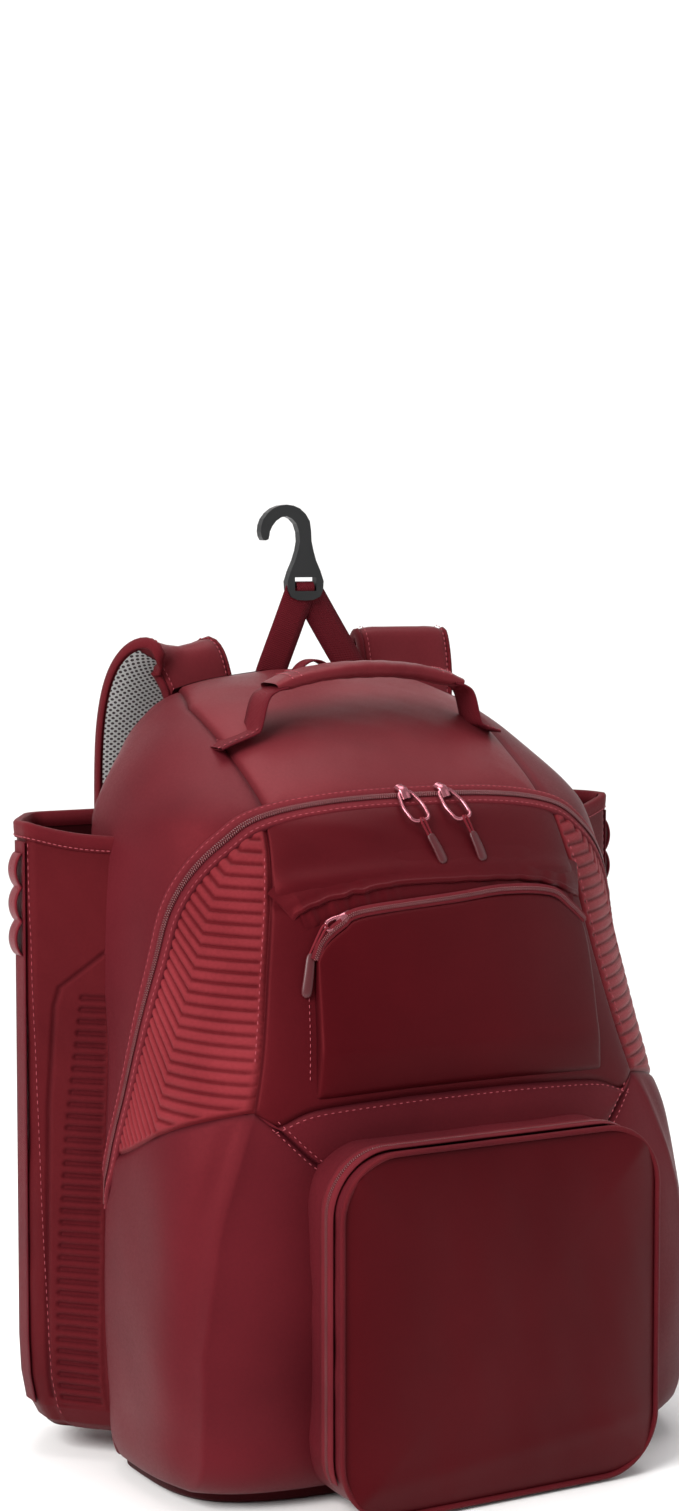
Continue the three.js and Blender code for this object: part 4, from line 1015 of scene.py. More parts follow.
def pocket_root(line):
    """Where a pocket wall that runs straight back from an outline point meets the body."""
    z = np.clip(line[:, 1], 3, 470)
    t = share_at(z, x=np.minimum(np.abs(line[:, 0]), 175))
    return body(t, z)[:, 1]


def lower_pocket():
    outer = pocket_outline(0.0)
    x, z = outer[:, 0], outer[:, 1]
    root = pocket_root(outer) + 4.0
    root = np.maximum(root, POCKET_FRONT + 10)
    n2 = unit(np.stack([np.roll(z, -1) - np.roll(z, 1), -(np.roll(x, -1) - np.roll(x, 1))], axis=1))
    outward = np.stack([n2[:, 0], 0 * x, n2[:, 1]], axis=1)
    # Gusset: from the body forward to the zip, and on to the piping at the face.
    steps = np.concatenate([np.linspace(0, 0.6, 16), np.linspace(0.66, 1.0, 8)])
    p, lifts = [], []
    for s in steps:
        y = root + (POCKET_FRONT + 1.5 - root) * s
        p.append(np.stack([x, y, z], axis=1))
        lifts.append(1.3 * np.sin(np.pi * min(s / 0.66, 1)) * np.clip((z - 20) / 40, 0.0, 1))
    p, lift = np.stack(p), np.stack(lifts)
    lift = lift + 0.5 * wave(p, 11, 38) * (steps > 0)[:, None]
    close = np.concatenate([p, p[:, :1]], axis=1)
    lift = np.concatenate([lift, lift[:, :1]], axis=1)
    out = np.broadcast_to(np.concatenate([outward, outward[:1]]), close.shape)
    # Painted shade where the gusset meets the body.
    shade = 0.7 * np.exp(-((steps / 0.05) ** 2))[:, None] + 0 * lift
    gusset = sheet_piece("lower_pocket_gusset_cloth", close, out, lift, body_cloth, shade)
    dress(gusset, "body_cloth", "lower_pocket_gusset")
    return outer, outward


def lower_pocket_face():
    """The crowned front: rings of the outline drawn in towards the middle, on a dome."""
    count = 260
    scales = np.concatenate([np.linspace(0, 10, 12), np.linspace(12, 34, 12)])
    rings = [pocket_outline(s, count) for s in scales]
    inner = rings[-1]
    middle = np.array([0.0, (POCKET_LOW + POCKET_HIGH) / 2])
    rings += [middle + (inner - middle) * k for k in np.linspace(0.95, 0.0, 22)]
    r = np.stack(rings)
    level_inset = np.minimum(r[..., 1] - POCKET_LOW, POCKET_HIGH - r[..., 1])
    inset = np.minimum(POCKET_WIDE - np.abs(r[..., 0]), level_inset)
    bulge = 6.0 * (1 - np.exp(-inset / 16)) + 1.3 * (1 - np.exp(-inset / 60))
    y = POCKET_FRONT + 1.2 - bulge
    p = np.stack([r[..., 0], y, r[..., 1]], axis=-1)
    soft = 1 - np.exp(-inset / 14)
    # The cloth hangs a little from the upper corners and folds softly towards the foot.
    lift = (0.9 * wave(p * (1, 1, 0.6), 21, 120) + 0.35 * wave(p, 23, 45)) * soft
    lift += 0.8 * np.exp(-(((p[..., 2] - 30 - 0.1 * p[..., 0]) / 7) ** 2)) * soft
    normals = np.broadcast_to(np.array([0, -1.0, 0]), p.shape)
    close = np.concatenate([p, p[:, :1]], axis=1)
    lift = np.concatenate([lift, lift[:, :1]], axis=1)
    # Painted shade round the face's edge, beside the piping.
    shade = 0.6 * np.exp(-((inset / 3) ** 2))
    shade = np.concatenate([shade, shade[:, :1]], axis=1)
    face = sheet_piece("lower_pocket_face_cloth", close, np.broadcast_to(normals[:, :1], close.shape), lift,
                       shaded_pocket_cloth, shade, flip=True, flat=(close[..., 0], close[..., 2]))
    dress(face, "dark_cloth", "lower_pocket_face")


def pocket_trim(outer, outward):
    """Piping round the face's edge, the zip in the gusset, and the zip's coil."""
    x, z = outer[:, 0], outer[:, 1]
    rim = np.stack([x, np.full(len(x), POCKET_FRONT + 0.4), z], axis=1) + outward * 0.6
    piping = tube("lower_pocket_piping_cord", rim, 1.75, binding_cloth, up=(0, -1, 0), closed=True)
    dress(piping, "body_cloth", "lower_pocket_piping")
    above = z > 24
    start = int(np.argmax(~above & np.roll(above, -1)))
    order = (np.arange(len(z)) + start + 1) % len(z)
    order = order[: int(above.sum())]
    line = np.stack([x, np.full(len(x), POCKET_FRONT + 17.0), z], axis=1)[order]
    out = outward[order]
    tape = ribbon("lower_pocket_zip_tape", line + out * 1.7, out, 15.0, 1.0, tape_cloth)
    dress(tape, "zip_tape", "lower_pocket_zip")
    coil = coil_teeth("lower_pocket_coil", line + out * 2.3, out, 3.4, 1.5)
    dress(coil, "zip_tape")


def coil_teeth(name, line, out, width, pitch):
    """The coil of a zip: two rows of small nylon loops that cross at the middle."""
    count = int(length_of(line) / pitch)
    both = even(np.hstack([line, out]), count)
    t, n = tangents(both[:, :3]), unit(both[:, 3:])
    side = unit(np.cross(t, n))
    first, second = both[:, :3] - side * width * 0.22, both[:, :3] + side * width * 0.22 + t * pitch / 2
    centres = np.concatenate([first, second])
    along = np.concatenate([side + 0.25 * t, side - 0.25 * t])
    return capsules(name, centres, unit(along), np.concatenate([n, n]), width * 0.62, 1.15, 1.3, coil_nylon)


pocket_line, pocket_out = lower_pocket()
lower_pocket_face()
pocket_trim(pocket_line, pocket_out)
print("lower pocket made")

# %% [markdown]
# The chest pocket is a flat patch pocket. Its zip runs over the top and down the left shoulder of the
# patch, under a fold of the front cloth.

# %% Chest pocket
CHEST_TOP = [(-88, 318), (-82, 329), (-70, 338), (-55, 344.5), (8, 349), (44, 351.5), (78, 348),
             (93, 338), (103, 329)]
CHEST_LEFT = [(-99, 238.5), (-97, 252), (-94, 274), (-91, 300), (-88, 318)]
CHEST_RIGHT = [(105, 238.5), (105, 262), (107, 300), (106, 318), (103, 329)]
CHEST_FOOT = [(-99, 238.5), (-47, 240.5), (0, 241), (47, 240.5), (105, 238.5)]
HOOD_LINE = [(-98, 343), (-92, 347.5), (-76, 353), (-43, 359), (-9, 361), (46, 359.5), (70, 357),
             (99, 348), (107, 345)]
HOOD_ROWS = 150


def chest_relief(p, runs, distance):
    left, right, foot, top = runs
    wall = 1 - np.exp(-((np.minimum(np.minimum(left, right), top) / 2.6) ** 2))
    swell = 5.2 * wall * np.clip(foot / 26, 0, 1) ** 0.5
    middle = 2.2 * np.exp(-((p[..., 0] / 75) ** 2)) * np.exp(-(((p[..., 2] - 300) / 38) ** 2))
    hang = 0.8 * np.exp(-(((p[..., 2] - 262 + 0.05 * p[..., 0]) / 9) ** 2)) * wall
    # The second value is painted shade along the top edge under the fold and down the left edge.
    return swell + middle + hang, 0.5 * np.exp(-((np.minimum(top, left) / 2.5) ** 2))


def chest_pocket():
    borders = [front_border(points, 140) for points in (CHEST_LEFT, CHEST_RIGHT, CHEST_FOOT, CHEST_TOP)]
    body_panel("chest_pocket_cloth", 1, borders, shaded_pocket_cloth, ["chest_pocket"],
               step=1.5, relief=chest_relief, slack=0.45, rise=1.4, slot="dark_cloth")


def on_body(points, count, height=0.0):
    """Points and outward directions along a front-view line laid on the body."""
    line = even(front_border(points, 4 * count), count)
    n = normal_at(line[:, 0], line[:, 1])
    return body(line[:, 0], line[:, 1]) + n * height, n


def swept(name, line, out, section, material, down=None, seam=0.0):
    """Sweeps an open section along a line; the section is (across, outward) in millimetres."""
    side = unit(np.cross(tangents(line), out)) if down is None else down
    section = np.asarray(section, dtype=float)
    if section.ndim == 2:
        section = np.broadcast_to(section, (len(line), *section.shape))
    p = line[:, None] + section[..., :1] * side[:, None] + section[..., 1:] * out[:, None]
    attributes = cloth_layout(run_along(line)[:, None], run_along(section[0]), p.shape[:2], seam)
    return new_object(name, p, grid_faces(*p.shape[:2]), material, attributes=attributes)


def chest_hood():
    """The front cloth rolls out over the zip and tucks back under itself."""
    line, out = on_body(HOOD_LINE, HOOD_ROWS)
    turn = np.linspace(-0.5 * np.pi, 0.62 * np.pi, 15)
    roll = np.stack([2.2 * np.sin(turn) + 0.8, 3.0 * np.cos(turn) + 1.9], axis=1)
    section = np.vstack([[(-20, 0.6), (-14, 1.9), (-8, 3.3), (-4, 4.4)], roll[3:], [(1.0, 0.2)]])
    row = np.arange(HOOD_ROWS)
    ends = np.clip(np.minimum(row, HOOD_ROWS - 1 - row) / 22, 0, 1)[:, None] ** 0.8
    rough = 0.7 * wave(line, 41, 16)[:, None] + 0.5 * wave(line, 43, 55)[:, None]
    grown = np.stack([section[:, 0] * np.ones((HOOD_ROWS, 1)) + rough * (section[:, 0] > -6),
                      section[:, 1] * (0.25 + 0.75 * ends) * (1 + 0.12 * rough)], axis=-1)
    hood = swept("chest_hood_cloth", line, out, grown, dark_cloth)
    dress(hood, "dark_cloth", "chest_zip_hood")
    # The strip under the fold, wrinkled where the zip tape is sewn to it.
    below, out = on_body([(x, z - 6.5) for x, z in HOOD_LINE[1:-1]], HOOD_ROWS, 1.4)
    band = swept("chest_zip_strip", below + out * 0.6 * wave(below, 47, 9)[:, None], out,
                 [(-6, 0.6), (-3, 1.0), (0, 1.1), (3, 1.0), (6, 0.2)], dark_cloth)
    dress(band, "dark_cloth")


def chest_zip():
    line, out = on_body(CHEST_TOP, 170, 5.0)
    tape = ribbon("chest_zip_tape", line + out * 0.6, out, 6.4, 0.9, tape_cloth)
    dress(tape, "zip_tape", "chest_zip")
    coil = coil_teeth("chest_zip_coil", line + out * 1.2, out, 2.6, 1.3)
    dress(coil, "zip_tape")


chest_pocket()
chest_hood()
chest_zip()
print("chest pocket made")

# %% [markdown]
# ## The main zip
#
# A coated tape with a raised coil runs up one side, over the front and down the other side. Below the
# zip's ends the same line is a plain seam, so the tape is only laid above them.

# %% Main zip


def whole_zip(low, count, height=0.0):
    """The zip line from the left end over the top to the right end, with outward directions."""
    keep = opening_share[:, 1] >= low
    right = opening_share[keep]
    line = even(np.vstack([right * (-1, 1), right[::-1]]), 4 * count)
    p = body(line[:, 0], line[:, 1])
    n = normal_at(line[:, 0], line[:, 1])
    both = even(np.hstack([p, n * 0.001]), count)
    n = unit(both[:, 3:])
    for _ in range(6):
        n[1:-1] = unit(n[:-2] + n[1:-1] + n[2:])
    return both[:, :3] + n * height, n


def main_zip():
    line, out = whole_zip(166, 700)
    section = [(-8.6, -0.6), (-8.0, 0.9), (-6.8, 1.7), (-4.6, 1.9), (-2.4, 1.5), (0, 1.2),
               (2.4, 1.5), (4.6, 1.9), (6.8, 1.7), (8.0, 0.9), (8.6, -0.6)]
    # Painted shade at the tape's edges, where it tucks under the cloth, and along its middle under the coil.
    seam = [0.8, 0.3, 0.0, 0.0, 0.25, 0.5, 0.25, 0.0, 0.0, 0.3, 0.8]
    tape = swept("main_zip_tape", line, out, section, tape_cloth, seam=seam)
    dress(tape, "zip_tape", "main_zip")
    coil = coil_teeth("main_zip_coil", line + out * 2.1, out, 3.8, 1.45)
    dress(coil, "zip_tape")
    side = unit(np.cross(tangents(line), out))
    for name, across in (("rear", 6.1), ("front", -6.1)):
        sewn = line + side * across + out * 1.5
        stitches(f"main_zip_stitch_{name}", sewn, out, "zip_tape", 4.0, 2.4, 0.5)


main_zip()

# %% [markdown]
# The seams that show on the front are sewn through twice. Each row is a line of small thread loops.

# %% Seam stitches


def seam_row(name, points, shift, height, count=120, pitch=3.6):
    """A row of stitches beside a seam, on both halves of the body."""
    points = [(x + shift[0], z + shift[1]) for x, z in points]
    for label, side in SIDES:
        line, out = on_body([(side * x, z) for x, z in points], count, height)
        stitches(f"{name}_{label}", line, out, "body_cloth", pitch, 2.1, 0.55)


seam_row("yoke_stitch_upper", YOKE_SEAM[1:], (-1.8, 2.0), 1.9)
seam_row("yoke_stitch_lower", YOKE_SEAM[1:], (1.8, -2.0), 1.2)
seam_row("waist_stitch", WAIST_SEAM, (0, -3.2), 2.0, pitch=4.2)
seam_row("chest_seam_stitch", CHEST_SEAM[1:-1], (3.0, 0), 1.4, pitch=4.2)
seam_row("pocket_side_stitch", [(-x, z) for x, z in CHEST_LEFT[1:]], (2.4, 0), 1.6)
print("main zip made")

# %% [markdown]
# ## Side sleeves
#
# Each sleeve is an open-topped pouch on a rear corner. Its plan is a line with rounded corners, lofted
# upwards. The front flap carries a pressed groove and a ladder of short ribs.

# %% Side sleeves
SLEEVE_LOW, SLEEVE_HIGH = 18.0, 393.0
LADDER = np.array([(33, 15, 43), (120, 17, 44), (210, 22, 46), (285, 31, 49)], dtype=float)
FLAP_GROOVE = np.array([(40, 9.5), (217, 11), (281, 15), (293, 18.5), (318, 51)], dtype=float)
LADDER_PITCH = 7.3


def rounded_path(corners, count):
    """A line through corners (x, y, radius), each one turned by a short smooth curve."""
    points = [np.array(corners[0][:2], dtype=float)]
    f = np.linspace(0, 1, 9)[:, None]
    for before, here, after in zip(corners[:-2], corners[1:-1], corners[2:]):
        a, b, c = (np.array(v[:2], dtype=float) for v in (before, here, after))
        p, q = b + unit(a - b) * here[2], b + unit(c - b) * here[2]
        points.extend((1 - f) ** 2 * p + 2 * f * (1 - f) * b + f**2 * q)
    points.append(np.array(corners[-1][:2], dtype=float))
    return even(np.array(points), count)


def sleeve_plan(share, count, inset=0.0):
    front = -65 * (2.2 + (1.55 - 2.2) * share)
    return rounded_path([(131.4, front + inset, 0), (212 - inset, -65 + inset, 6), (212.6 - inset, -45.5, 8),
                         (186 - inset * 0.6, -1 - inset, 10), (100, -1 - inset, 0)], count)


def foot_scale(share):
    """The sleeve draws in towards the body near its foot."""
    return np.interp(share, [0, 0.012, 0.04, 0.09, 0.15, 1], [0.86, 0.915, 0.96, 0.99, 1, 1])


def sleeve_surface(rows, columns, inset=0.0, low=SLEEVE_LOW):
    share = np.linspace(0, 1, rows)
    plan = np.stack([sleeve_plan(s, columns, inset) for s in share])
    root = np.array([100.0, -65.0])
    scale = foot_scale(share)[:, None, None]
    plan = root + (plan - root) * scale
    corner = root + (np.array([212.0 - inset, -65.0 + inset]) - root) * scale
    w = np.linalg.norm(plan - corner, axis=2)
    front = plan[..., 1] < -64
    drop = np.where(front, 9.0 * np.clip(w / 55, 0, 1) + 2.0 * np.sin(np.clip(w / 55, 0, 1) * np.pi), 0)
    z = low + (SLEEVE_HIGH - low - drop) * share[:, None]
    return np.concatenate([plan, z[..., None]], axis=-1), w, front


def flap_relief(p, w, front):
    """Lift and shade of the ladder and the groove, by distance w from the outer corner and height."""
    z = p[..., 2]
    inner = np.interp(z, LADDER[:, 0], LADDER[:, 1])
    outer = np.interp(z, LADDER[:, 0], LADDER[:, 2])
    phase = np.mod((z + 0.04 * w) / LADDER_PITCH, 1.0)
    bar = np.exp(-(((phase - 0.3) / 0.12) ** 2)) + np.exp(-(((phase - 0.62) / 0.12) ** 2))
    tall = (z > 33) * (z < 290)
    inside = np.clip((w - inner) / 1.5, 0, 1) * np.clip((outer - w) / 1.5, 0, 1) * tall
    hook = np.exp(-(((w - inner - 1.0) / 1.1) ** 2)) * (phase > 0.28) * (phase < 0.64) * tall
    cut = np.maximum(bar * inside, hook)
    groove_w = np.interp(z, FLAP_GROOVE[:, 0], FLAP_GROOVE[:, 1])
    slant = 1 / np.sqrt(1 + np.gradient(groove_w, axis=0) ** 2)
    groove = np.exp(-(((w - groove_w) * slant / 1.2) ** 2)) * (z > 38) * (z < 316)
    outline = np.exp(-(((w - outer - 3.0) / 1.3) ** 2)) * (z > 33) * (z < 300)
    panel = 0.7 * np.clip((w - groove_w) / 3, 0, 1) * np.clip((318 - z) / 4, 0, 1)
    lift = np.where(front, panel - 1.1 * cut - 1.0 * groove - 0.5 * outline, 0)
    return lift, np.where(front, 0.7 * cut + 0.8 * groove + 0.2 * outline, 0)


def side_sleeve(name, side):
    p, w, front = sleeve_surface(400, 250)
    n = grid_normals(p)
    n = n * np.where(n[200, 60, 1] > 0, -1, 1)
    lift, shade = flap_relief(p, w, front)
    slack = 0.9 * wave(p * (1, 1, 0.35), 31, 80) + 0.4 * wave(p, 33, 40)
    lift = lift + slack * np.clip((385 - p[..., 2]) / 30, 0, 1) - 0.5
    mirror = np.array([side, 1, 1])
    cover = sheet_piece(f"sleeve_cloth_{name}", p * mirror, n * mirror, lift, sleeve_cloth, shade,
                        flip=side < 0)
    dress(cover, "sleeve_cloth", f"side_sleeve_{name}")
    q, _, _ = sleeve_surface(60, 120, 3.0, 21.0)
    inner = sheet_piece(f"sleeve_lining_{name}", q * mirror, q * 0, np.zeros(q.shape[:2]), lining_cloth,
                        flip=side > 0)
    dress(inner, "sleeve_cloth")
    middle = np.array([150, -50, 18.5])
    inmost = (p[0] - middle) * (0.05, 0.05, 0) + middle
    foot = np.stack([p[0] * (1, 1, 0) + (0, 0, 18.5), inmost])
    floor = new_object(f"sleeve_floor_{name}", foot * mirror, grid_faces(2, len(p[0])), sleeve_cloth)
    dress(floor, "sleeve_cloth")
    # The mouth is bound with a folded tape, stitched through below the fold.
    rim, out = p[-1] * mirror, unit(n[-1] * (1, 1, 0)) * mirror
    fold = [(9.5, 0.1), (9.2, 1.0), (4, 1.5), (0.5, 1.6), (-0.9, 0.6), (-1.2, -1.6), (-0.4, -3.6),
            (6, -4.2), (8.5, -3.4)]
    down = np.array([[0, 0, -1.0]])
    binding = swept(f"sleeve_binding_tape_{name}", rim, out, fold, binding_cloth, down=down)
    dress(binding, "body_cloth", f"sleeve_binding_{name}")
    sewn = rim - (0, 0, 8.0) + out * 1.1
    stitches(f"sleeve_mouth_stitch_{name}", sewn, out, "body_cloth", 3.2, 2.3, 0.6)
    column = int(np.argmin(np.where(front[200], np.abs(w[200] - 5.5), 99)))
    seam = (p + n * lift[..., None])[12:-14, column] * mirror
    stitches(f"sleeve_edge_stitch_{name}", seam, n[200, column] * mirror, "body_cloth", 4.4, 2.6, 0.5)
    gear_loops(name, side)


def gear_loops(name, side):
    """A strip of webbing down the outer face, sewn flat between three small loops."""
    z = np.linspace(375, 312, 90)
    share = np.mod((375 - z) / 21, 1.0)
    rise = 1.4 + 4.0 * np.sin(np.pi * share) ** 0.7
    line = np.stack([side * (212.6 + rise), np.full(90, -55.0), z], axis=1)
    out = np.broadcast_to(np.array([side, 0, 0.0]), line.shape)
    loops = ribbon(f"gear_loop_webbing_{name}", line, out, 12.0, 1.6, loop_webbing)
    dress(loops, "webbing", f"gear_loops_{name}")
    z = np.linspace(382, 34, 80)
    draw = foot_scale((z - SLEEVE_LOW) / (SLEEVE_HIGH - SLEEVE_LOW))
    line = np.stack([side * (100 + 113.2 * draw), -65 + 9.5 * draw, z], axis=1)
    strip = ribbon(f"sleeve_edge_webbing_{name}", line, out[:80], 15.0, 1.0, webbing_cloth)
    dress(strip, "webbing")


loop_webbing = cloth("loop_webbing", "6a1c26", "3a0d13", rough=0.3, thread=1.4, bump=0.5)
for name, side in SIDES:
    side_sleeve(name, side)
print("side sleeves made")

# %% [markdown]
# ## Straps, handle and hang loop
#
# The shoulder straps are foam pads in cloth, bound at their edges, with a spacer mesh on the wearer's
# side. They rise from the back panel, bend over, and hang down behind the bag.

# %% Shoulder straps
STRAP_ROUTES = {
    # shares: sideways, behind, height, breadth
    "left": [(.32, .013, .93, .25), (.335, .03, .985, .27), (.37, .07, 1.022, .31), (.43, .125, 1.0, .34),
             (.46, .16, .93, .35), (.46, .18, .8, .35), (.45, .18, .65, .34),
             (.47, .16, .5, .31), (.52, .12, .36, .25)],
    "right": [(.5, .008, .91, .35), (.515, .03, .99, .37), (.52, .07, 1.045, .375), (.52, .125, 1.015, .375),
              (.51, .16, .93, .37), (.5, .18, .8, .36), (.49, .18, .65, .35),
              (.5, .16, .5, .31), (.53, .12, .36, .25)],
}
STRAP_THICK = 10.4
STRAP_ROWS, STRAP_SIDES = 170, 40
WEBBING_WIDE, WEBBING_THICK = 25.0, 1.8


def strap_frame(name, side, count):
    """Middle line, across and outward directions, and breadth along a strap."""
    rows = np.array(STRAP_ROUTES[name]) * (HALF_W, BODY_D, BODY_H, HALF_W)
    line = smooth_line(rows, count)
    breadth = line[:, 3]
    line = line[:, :3] * (side, 1, 1)
    t = tangents(line)
    across = unit(np.array([1.0, 0, 0]) - t * t[:, :1])
    return line, across, unit(np.cross(across, t)), breadth


def strap(name, side):
    line, across, out, breadth = strap_frame(name, side, STRAP_ROWS)
    if out[60, 1] < 0:
        out = -out
    a = np.linspace(0, 2 * math.pi, STRAP_SIDES, endpoint=False)
    cx, cz = signed_power(np.cos(a), 0.45), signed_power(np.sin(a), 0.8)
    half = breadth[:, None, None] / 2 - 1.5
    ends = np.interp(np.arange(STRAP_ROWS), [0, 8, 160, 169], [0.6, 1, 1, 0.6])
    thick = STRAP_THICK / 2 * ends[:, None, None]
    p = line[:, None] + cx[None, :, None] * across[:, None] * half + cz[None, :, None] * out[:, None] * thick
    p = p + (0.8 * wave(p, 51, 60) + 0.3 * wave(p, 53, 22))[..., None] * out[:, None]
    run = run_along(line)
    # Painted shade along the pad's sides, next to the binding.
    attributes = cloth_layout(cx * half[..., 0], run[:, None], p.shape[:2], 0.5 * (np.abs(cx) > 0.93))
    faces = grid_faces(STRAP_ROWS, STRAP_SIDES, wrap=True)
    pad = new_object(f"strap_pad_{name}", p, faces, top_cloth_painted_light, attributes=attributes)
    dress(pad, "padded_cloth", f"shoulder_strap_{name}")
    # The wearer's side is a spacer mesh, from the bend to the strap's foot.
    inner = slice(28, 168)
    u = np.linspace(-1, 1, 26)
    depth = thick[inner] * (1 - 0.25 * np.abs(u[None, :, None]) ** 4) + 0.9
    q = line[inner, None] + u[None, :, None] * across[inner, None] * (half[inner] - 1.0) \
        - out[inner, None] * depth
    lining = sheet_piece(f"strap_mesh_lining_{name}", q, q * 0, np.zeros(q.shape[:2]), strap_mesh,
                         flip=True, flat=(u * half[inner, :, 0], run[inner, None]))
    dress(lining, "strap_mesh", f"strap_mesh_{name}")
    for edge_name, edge in (("inner", -1), ("outer", 1)):
        rim = line + edge * across * (breadth[:, None] / 2 - 1.2)
        tape = tube(f"strap_binding_{name}_{edge_name}", rim, 2.1, binding_cloth, up=out, squash=1.9)
        dress(tape, "padded_cloth")
        sewn = line + edge * across * (breadth[:, None] / 2 - 5.0) + out * (STRAP_THICK / 2 * 0.93)
        stitches(f"strap_stitch_{name}_{edge_name}", sewn[4:-4], out[4:-4], "padded_cloth", 3.6, 2.4, 0.6)
    low, high = (np.array(corner) * 1000 - (0, BACK, 0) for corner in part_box(f"strap_webbing_{name}"))
    end = line[-1]
    anchor = np.array([high[0] - 14 if side > 0 else low[0] + 14, 2.4, low[2] + 14])
    path = smooth_line([end + (0, -1, 14), end + (0, 0, -8), end * 0.45 + anchor * 0.55 + (0, 9, 0),
                        anchor + (0, 1.5, 16), anchor, anchor - (0, 0.3, 12)], 80)
    out2 = unit(np.cross(tangents(path), np.array([[1.0, 0, 0]])))
    out2 = out2 * np.where(out2[40, 1] < 0, -1, 1)
    web = ribbon(f"strap_lower_webbing_{name}", path, out2, WEBBING_WIDE, WEBBING_THICK, webbing_cloth)
    dress(web, "webbing", f"strap_webbing_{name}")


for name, side in SIDES:
    strap(name, side)
print("straps made")

# %% [markdown]
# The grab handle is a rolled grip between two webbing feet sewn to the top panel. A strong loop behind
# it carries the plastic hook.

# %% Handle, hang loop and hook
GRIP_HALF, GRIP_Y = 67.0, -105.0
GRIP_ROWS, GRIP_SIDES = 90, 30


def grab_handle():
    x = np.linspace(-GRIP_HALF, GRIP_HALF, GRIP_ROWS)
    z = 474.6 + 9.8 * (1 - np.abs(x / GRIP_HALF) ** 2.2)
    line = np.stack([x, np.full(GRIP_ROWS, GRIP_Y), z], axis=1)
    out = unit(np.cross(tangents(line), np.array([[0, 1.0, 0]])))
    out = out * np.sign(out[45, 2])
    a = np.linspace(0, 2 * math.pi, GRIP_SIDES, endpoint=False)
    wide = 12.4 * np.interp(np.abs(x), [0, 58, GRIP_HALF], [1, 1, 0.93])[:, None, None]
    tall = 5.4 * np.interp(np.abs(x), [0, 56, GRIP_HALF], [1, 0.9, 0.55])[:, None, None]
    across = signed_power(np.cos(a), 0.7)[None, :, None] * wide * np.array([0, 1.0, 0])
    p = line[:, None] + across + signed_power(np.sin(a), 0.8)[None, :, None] * tall * out[:, None]
    p = p + 0.35 * wave(p, 61, 18)[..., None] * out[:, None]
    faces = grid_faces(GRIP_ROWS, GRIP_SIDES, wrap=True)[:, ::-1]
    attributes = cloth_layout(x[:, None], a * 9, p.shape[:2])
    grip = new_object("grip_cloth", p, faces, top_cloth_painted_light, attributes=attributes)
    dress(grip, "padded_cloth", "grab_handle")
    for place in (-56, -50, 50, 56):
        k = int(np.argmin(np.abs(x - place)))
        stitches(f"grip_cross_stitch_{place}", p[k, 2:14] + out[k] * 0.3, out[k], "webbing", 2.6, 1.9, 0.6)
    for name, side in SIDES:
        handle_foot(name, side)


def handle_foot(name, side):
    """Webbing that leaves the grip's end, drops to the roof and is sewn flat to it."""
    reach = 106.0 if side < 0 else 94.0
    foot_x = np.array([60, 68, 74, 79, 83, reach - 9, reach - 4, reach])
    roof = roof_z(foot_x, np.full(8, GRIP_Y)) + 2.6
    lowest = [474.5, 472.5, 467, roof[3] + 3, roof[4] + 0.6, roof[5], roof[6], roof[7]]
    foot_z = np.maximum(roof, lowest)
    route = smooth_line(np.stack([side * foot_x, np.full(8, GRIP_Y), foot_z], axis=1), 70)
    n = unit(np.cross(tangents(route), np.array([[0, 1.0, 0]])))
    n = n * np.where(n[:, 2:] < 0, -1, 1)
    web = ribbon(f"handle_foot_webbing_{name}", route, n, WEBBING_WIDE, WEBBING_THICK, webbing_cloth)
    dress(web, "webbing", f"handle_foot_{name}")
    for place, shift in (("front", -9.5), ("rear", 9.5)):
        sewn = route[38:] + (0, shift, 0) + n[38:] * 1.0
        stitches(f"handle_foot_stitch_{name}_{place}", sewn, n[38:], "webbing", 3.2, 2.2, 0.6)


def hang_loop():
    hook_eye = np.array([10.0, -6.0, 532.5])
    legs = []
    for name, foot_x, foot_z, y in (("left", -18.0, 470.0, -7.0), ("right", 53.0, 468.0, -5.0)):
        foot = np.array([foot_x, y, foot_z])
        top = hook_eye + (3.0 if foot_x > 0 else -3.0, y + 6.0, 0)
        middle = top * 0.6 + foot * 0.4 + (0, 0, 0.5)
        route = smooth_line([top, middle, foot + (-0.12 * (foot_x - 10), 0, 10), foot], 60)
        out = np.broadcast_to(np.array([0, -1.0, 0]), route.shape)
        legs.append(ribbon(f"hang_leg_{name}", route, out, 22.0, 1.7, webbing_cloth))
    dress(legs[0], "webbing", "hang_webbing")
    dress(legs[1], "webbing")
    bar = np.stack([np.linspace(3.5, 16.5, 20), np.full(20, -6.0), np.full(20, 534.0)], axis=1)
    fold = tube("hang_fold", bar, 4.2, webbing_cloth, up=(0, -1, 0), squash=0.75)
    dress(fold, "webbing")
    x = np.linspace(-14, 10, 40)
    rise = 8.0 * np.sin(np.clip((x + 14) / 24, 0, 1) * np.pi) ** 0.6
    arch = np.stack([x, np.full(40, -40.0), 479.6 + rise], axis=1)
    out = unit(np.cross(tangents(arch), np.array([[0, 1.0, 0]])))
    out = out * np.where(out[20, 2] < 0, -1, 1)
    loop = ribbon("top_loop_webbing", arch, out, 12.0, 1.5, webbing_cloth)
    dress(loop, "webbing", "top_loop")


grab_handle()
hang_loop()
rounding = frame["nodes"]["hang_hook"].modifiers.new("rounding", "BEVEL")
rounding.width = 0.0012
rounding.segments = 3
print("handle and hang loop made")

# %% [markdown]
# ## Zip sliders and pulls
#
# Every slider has a cast body and a ring. A doubled cord joins the ring to a soft rubber tab.

# %% Sliders and pulls


def front_point(x, z, height):
    """A point above the body's front, and the outward direction there."""
    t = share_at(z, x=abs(x)) * np.sign(x)
    n = normal_at(t, np.array([z]))
    return (body(t, np.array([z])) + n * height)[0], n[0]


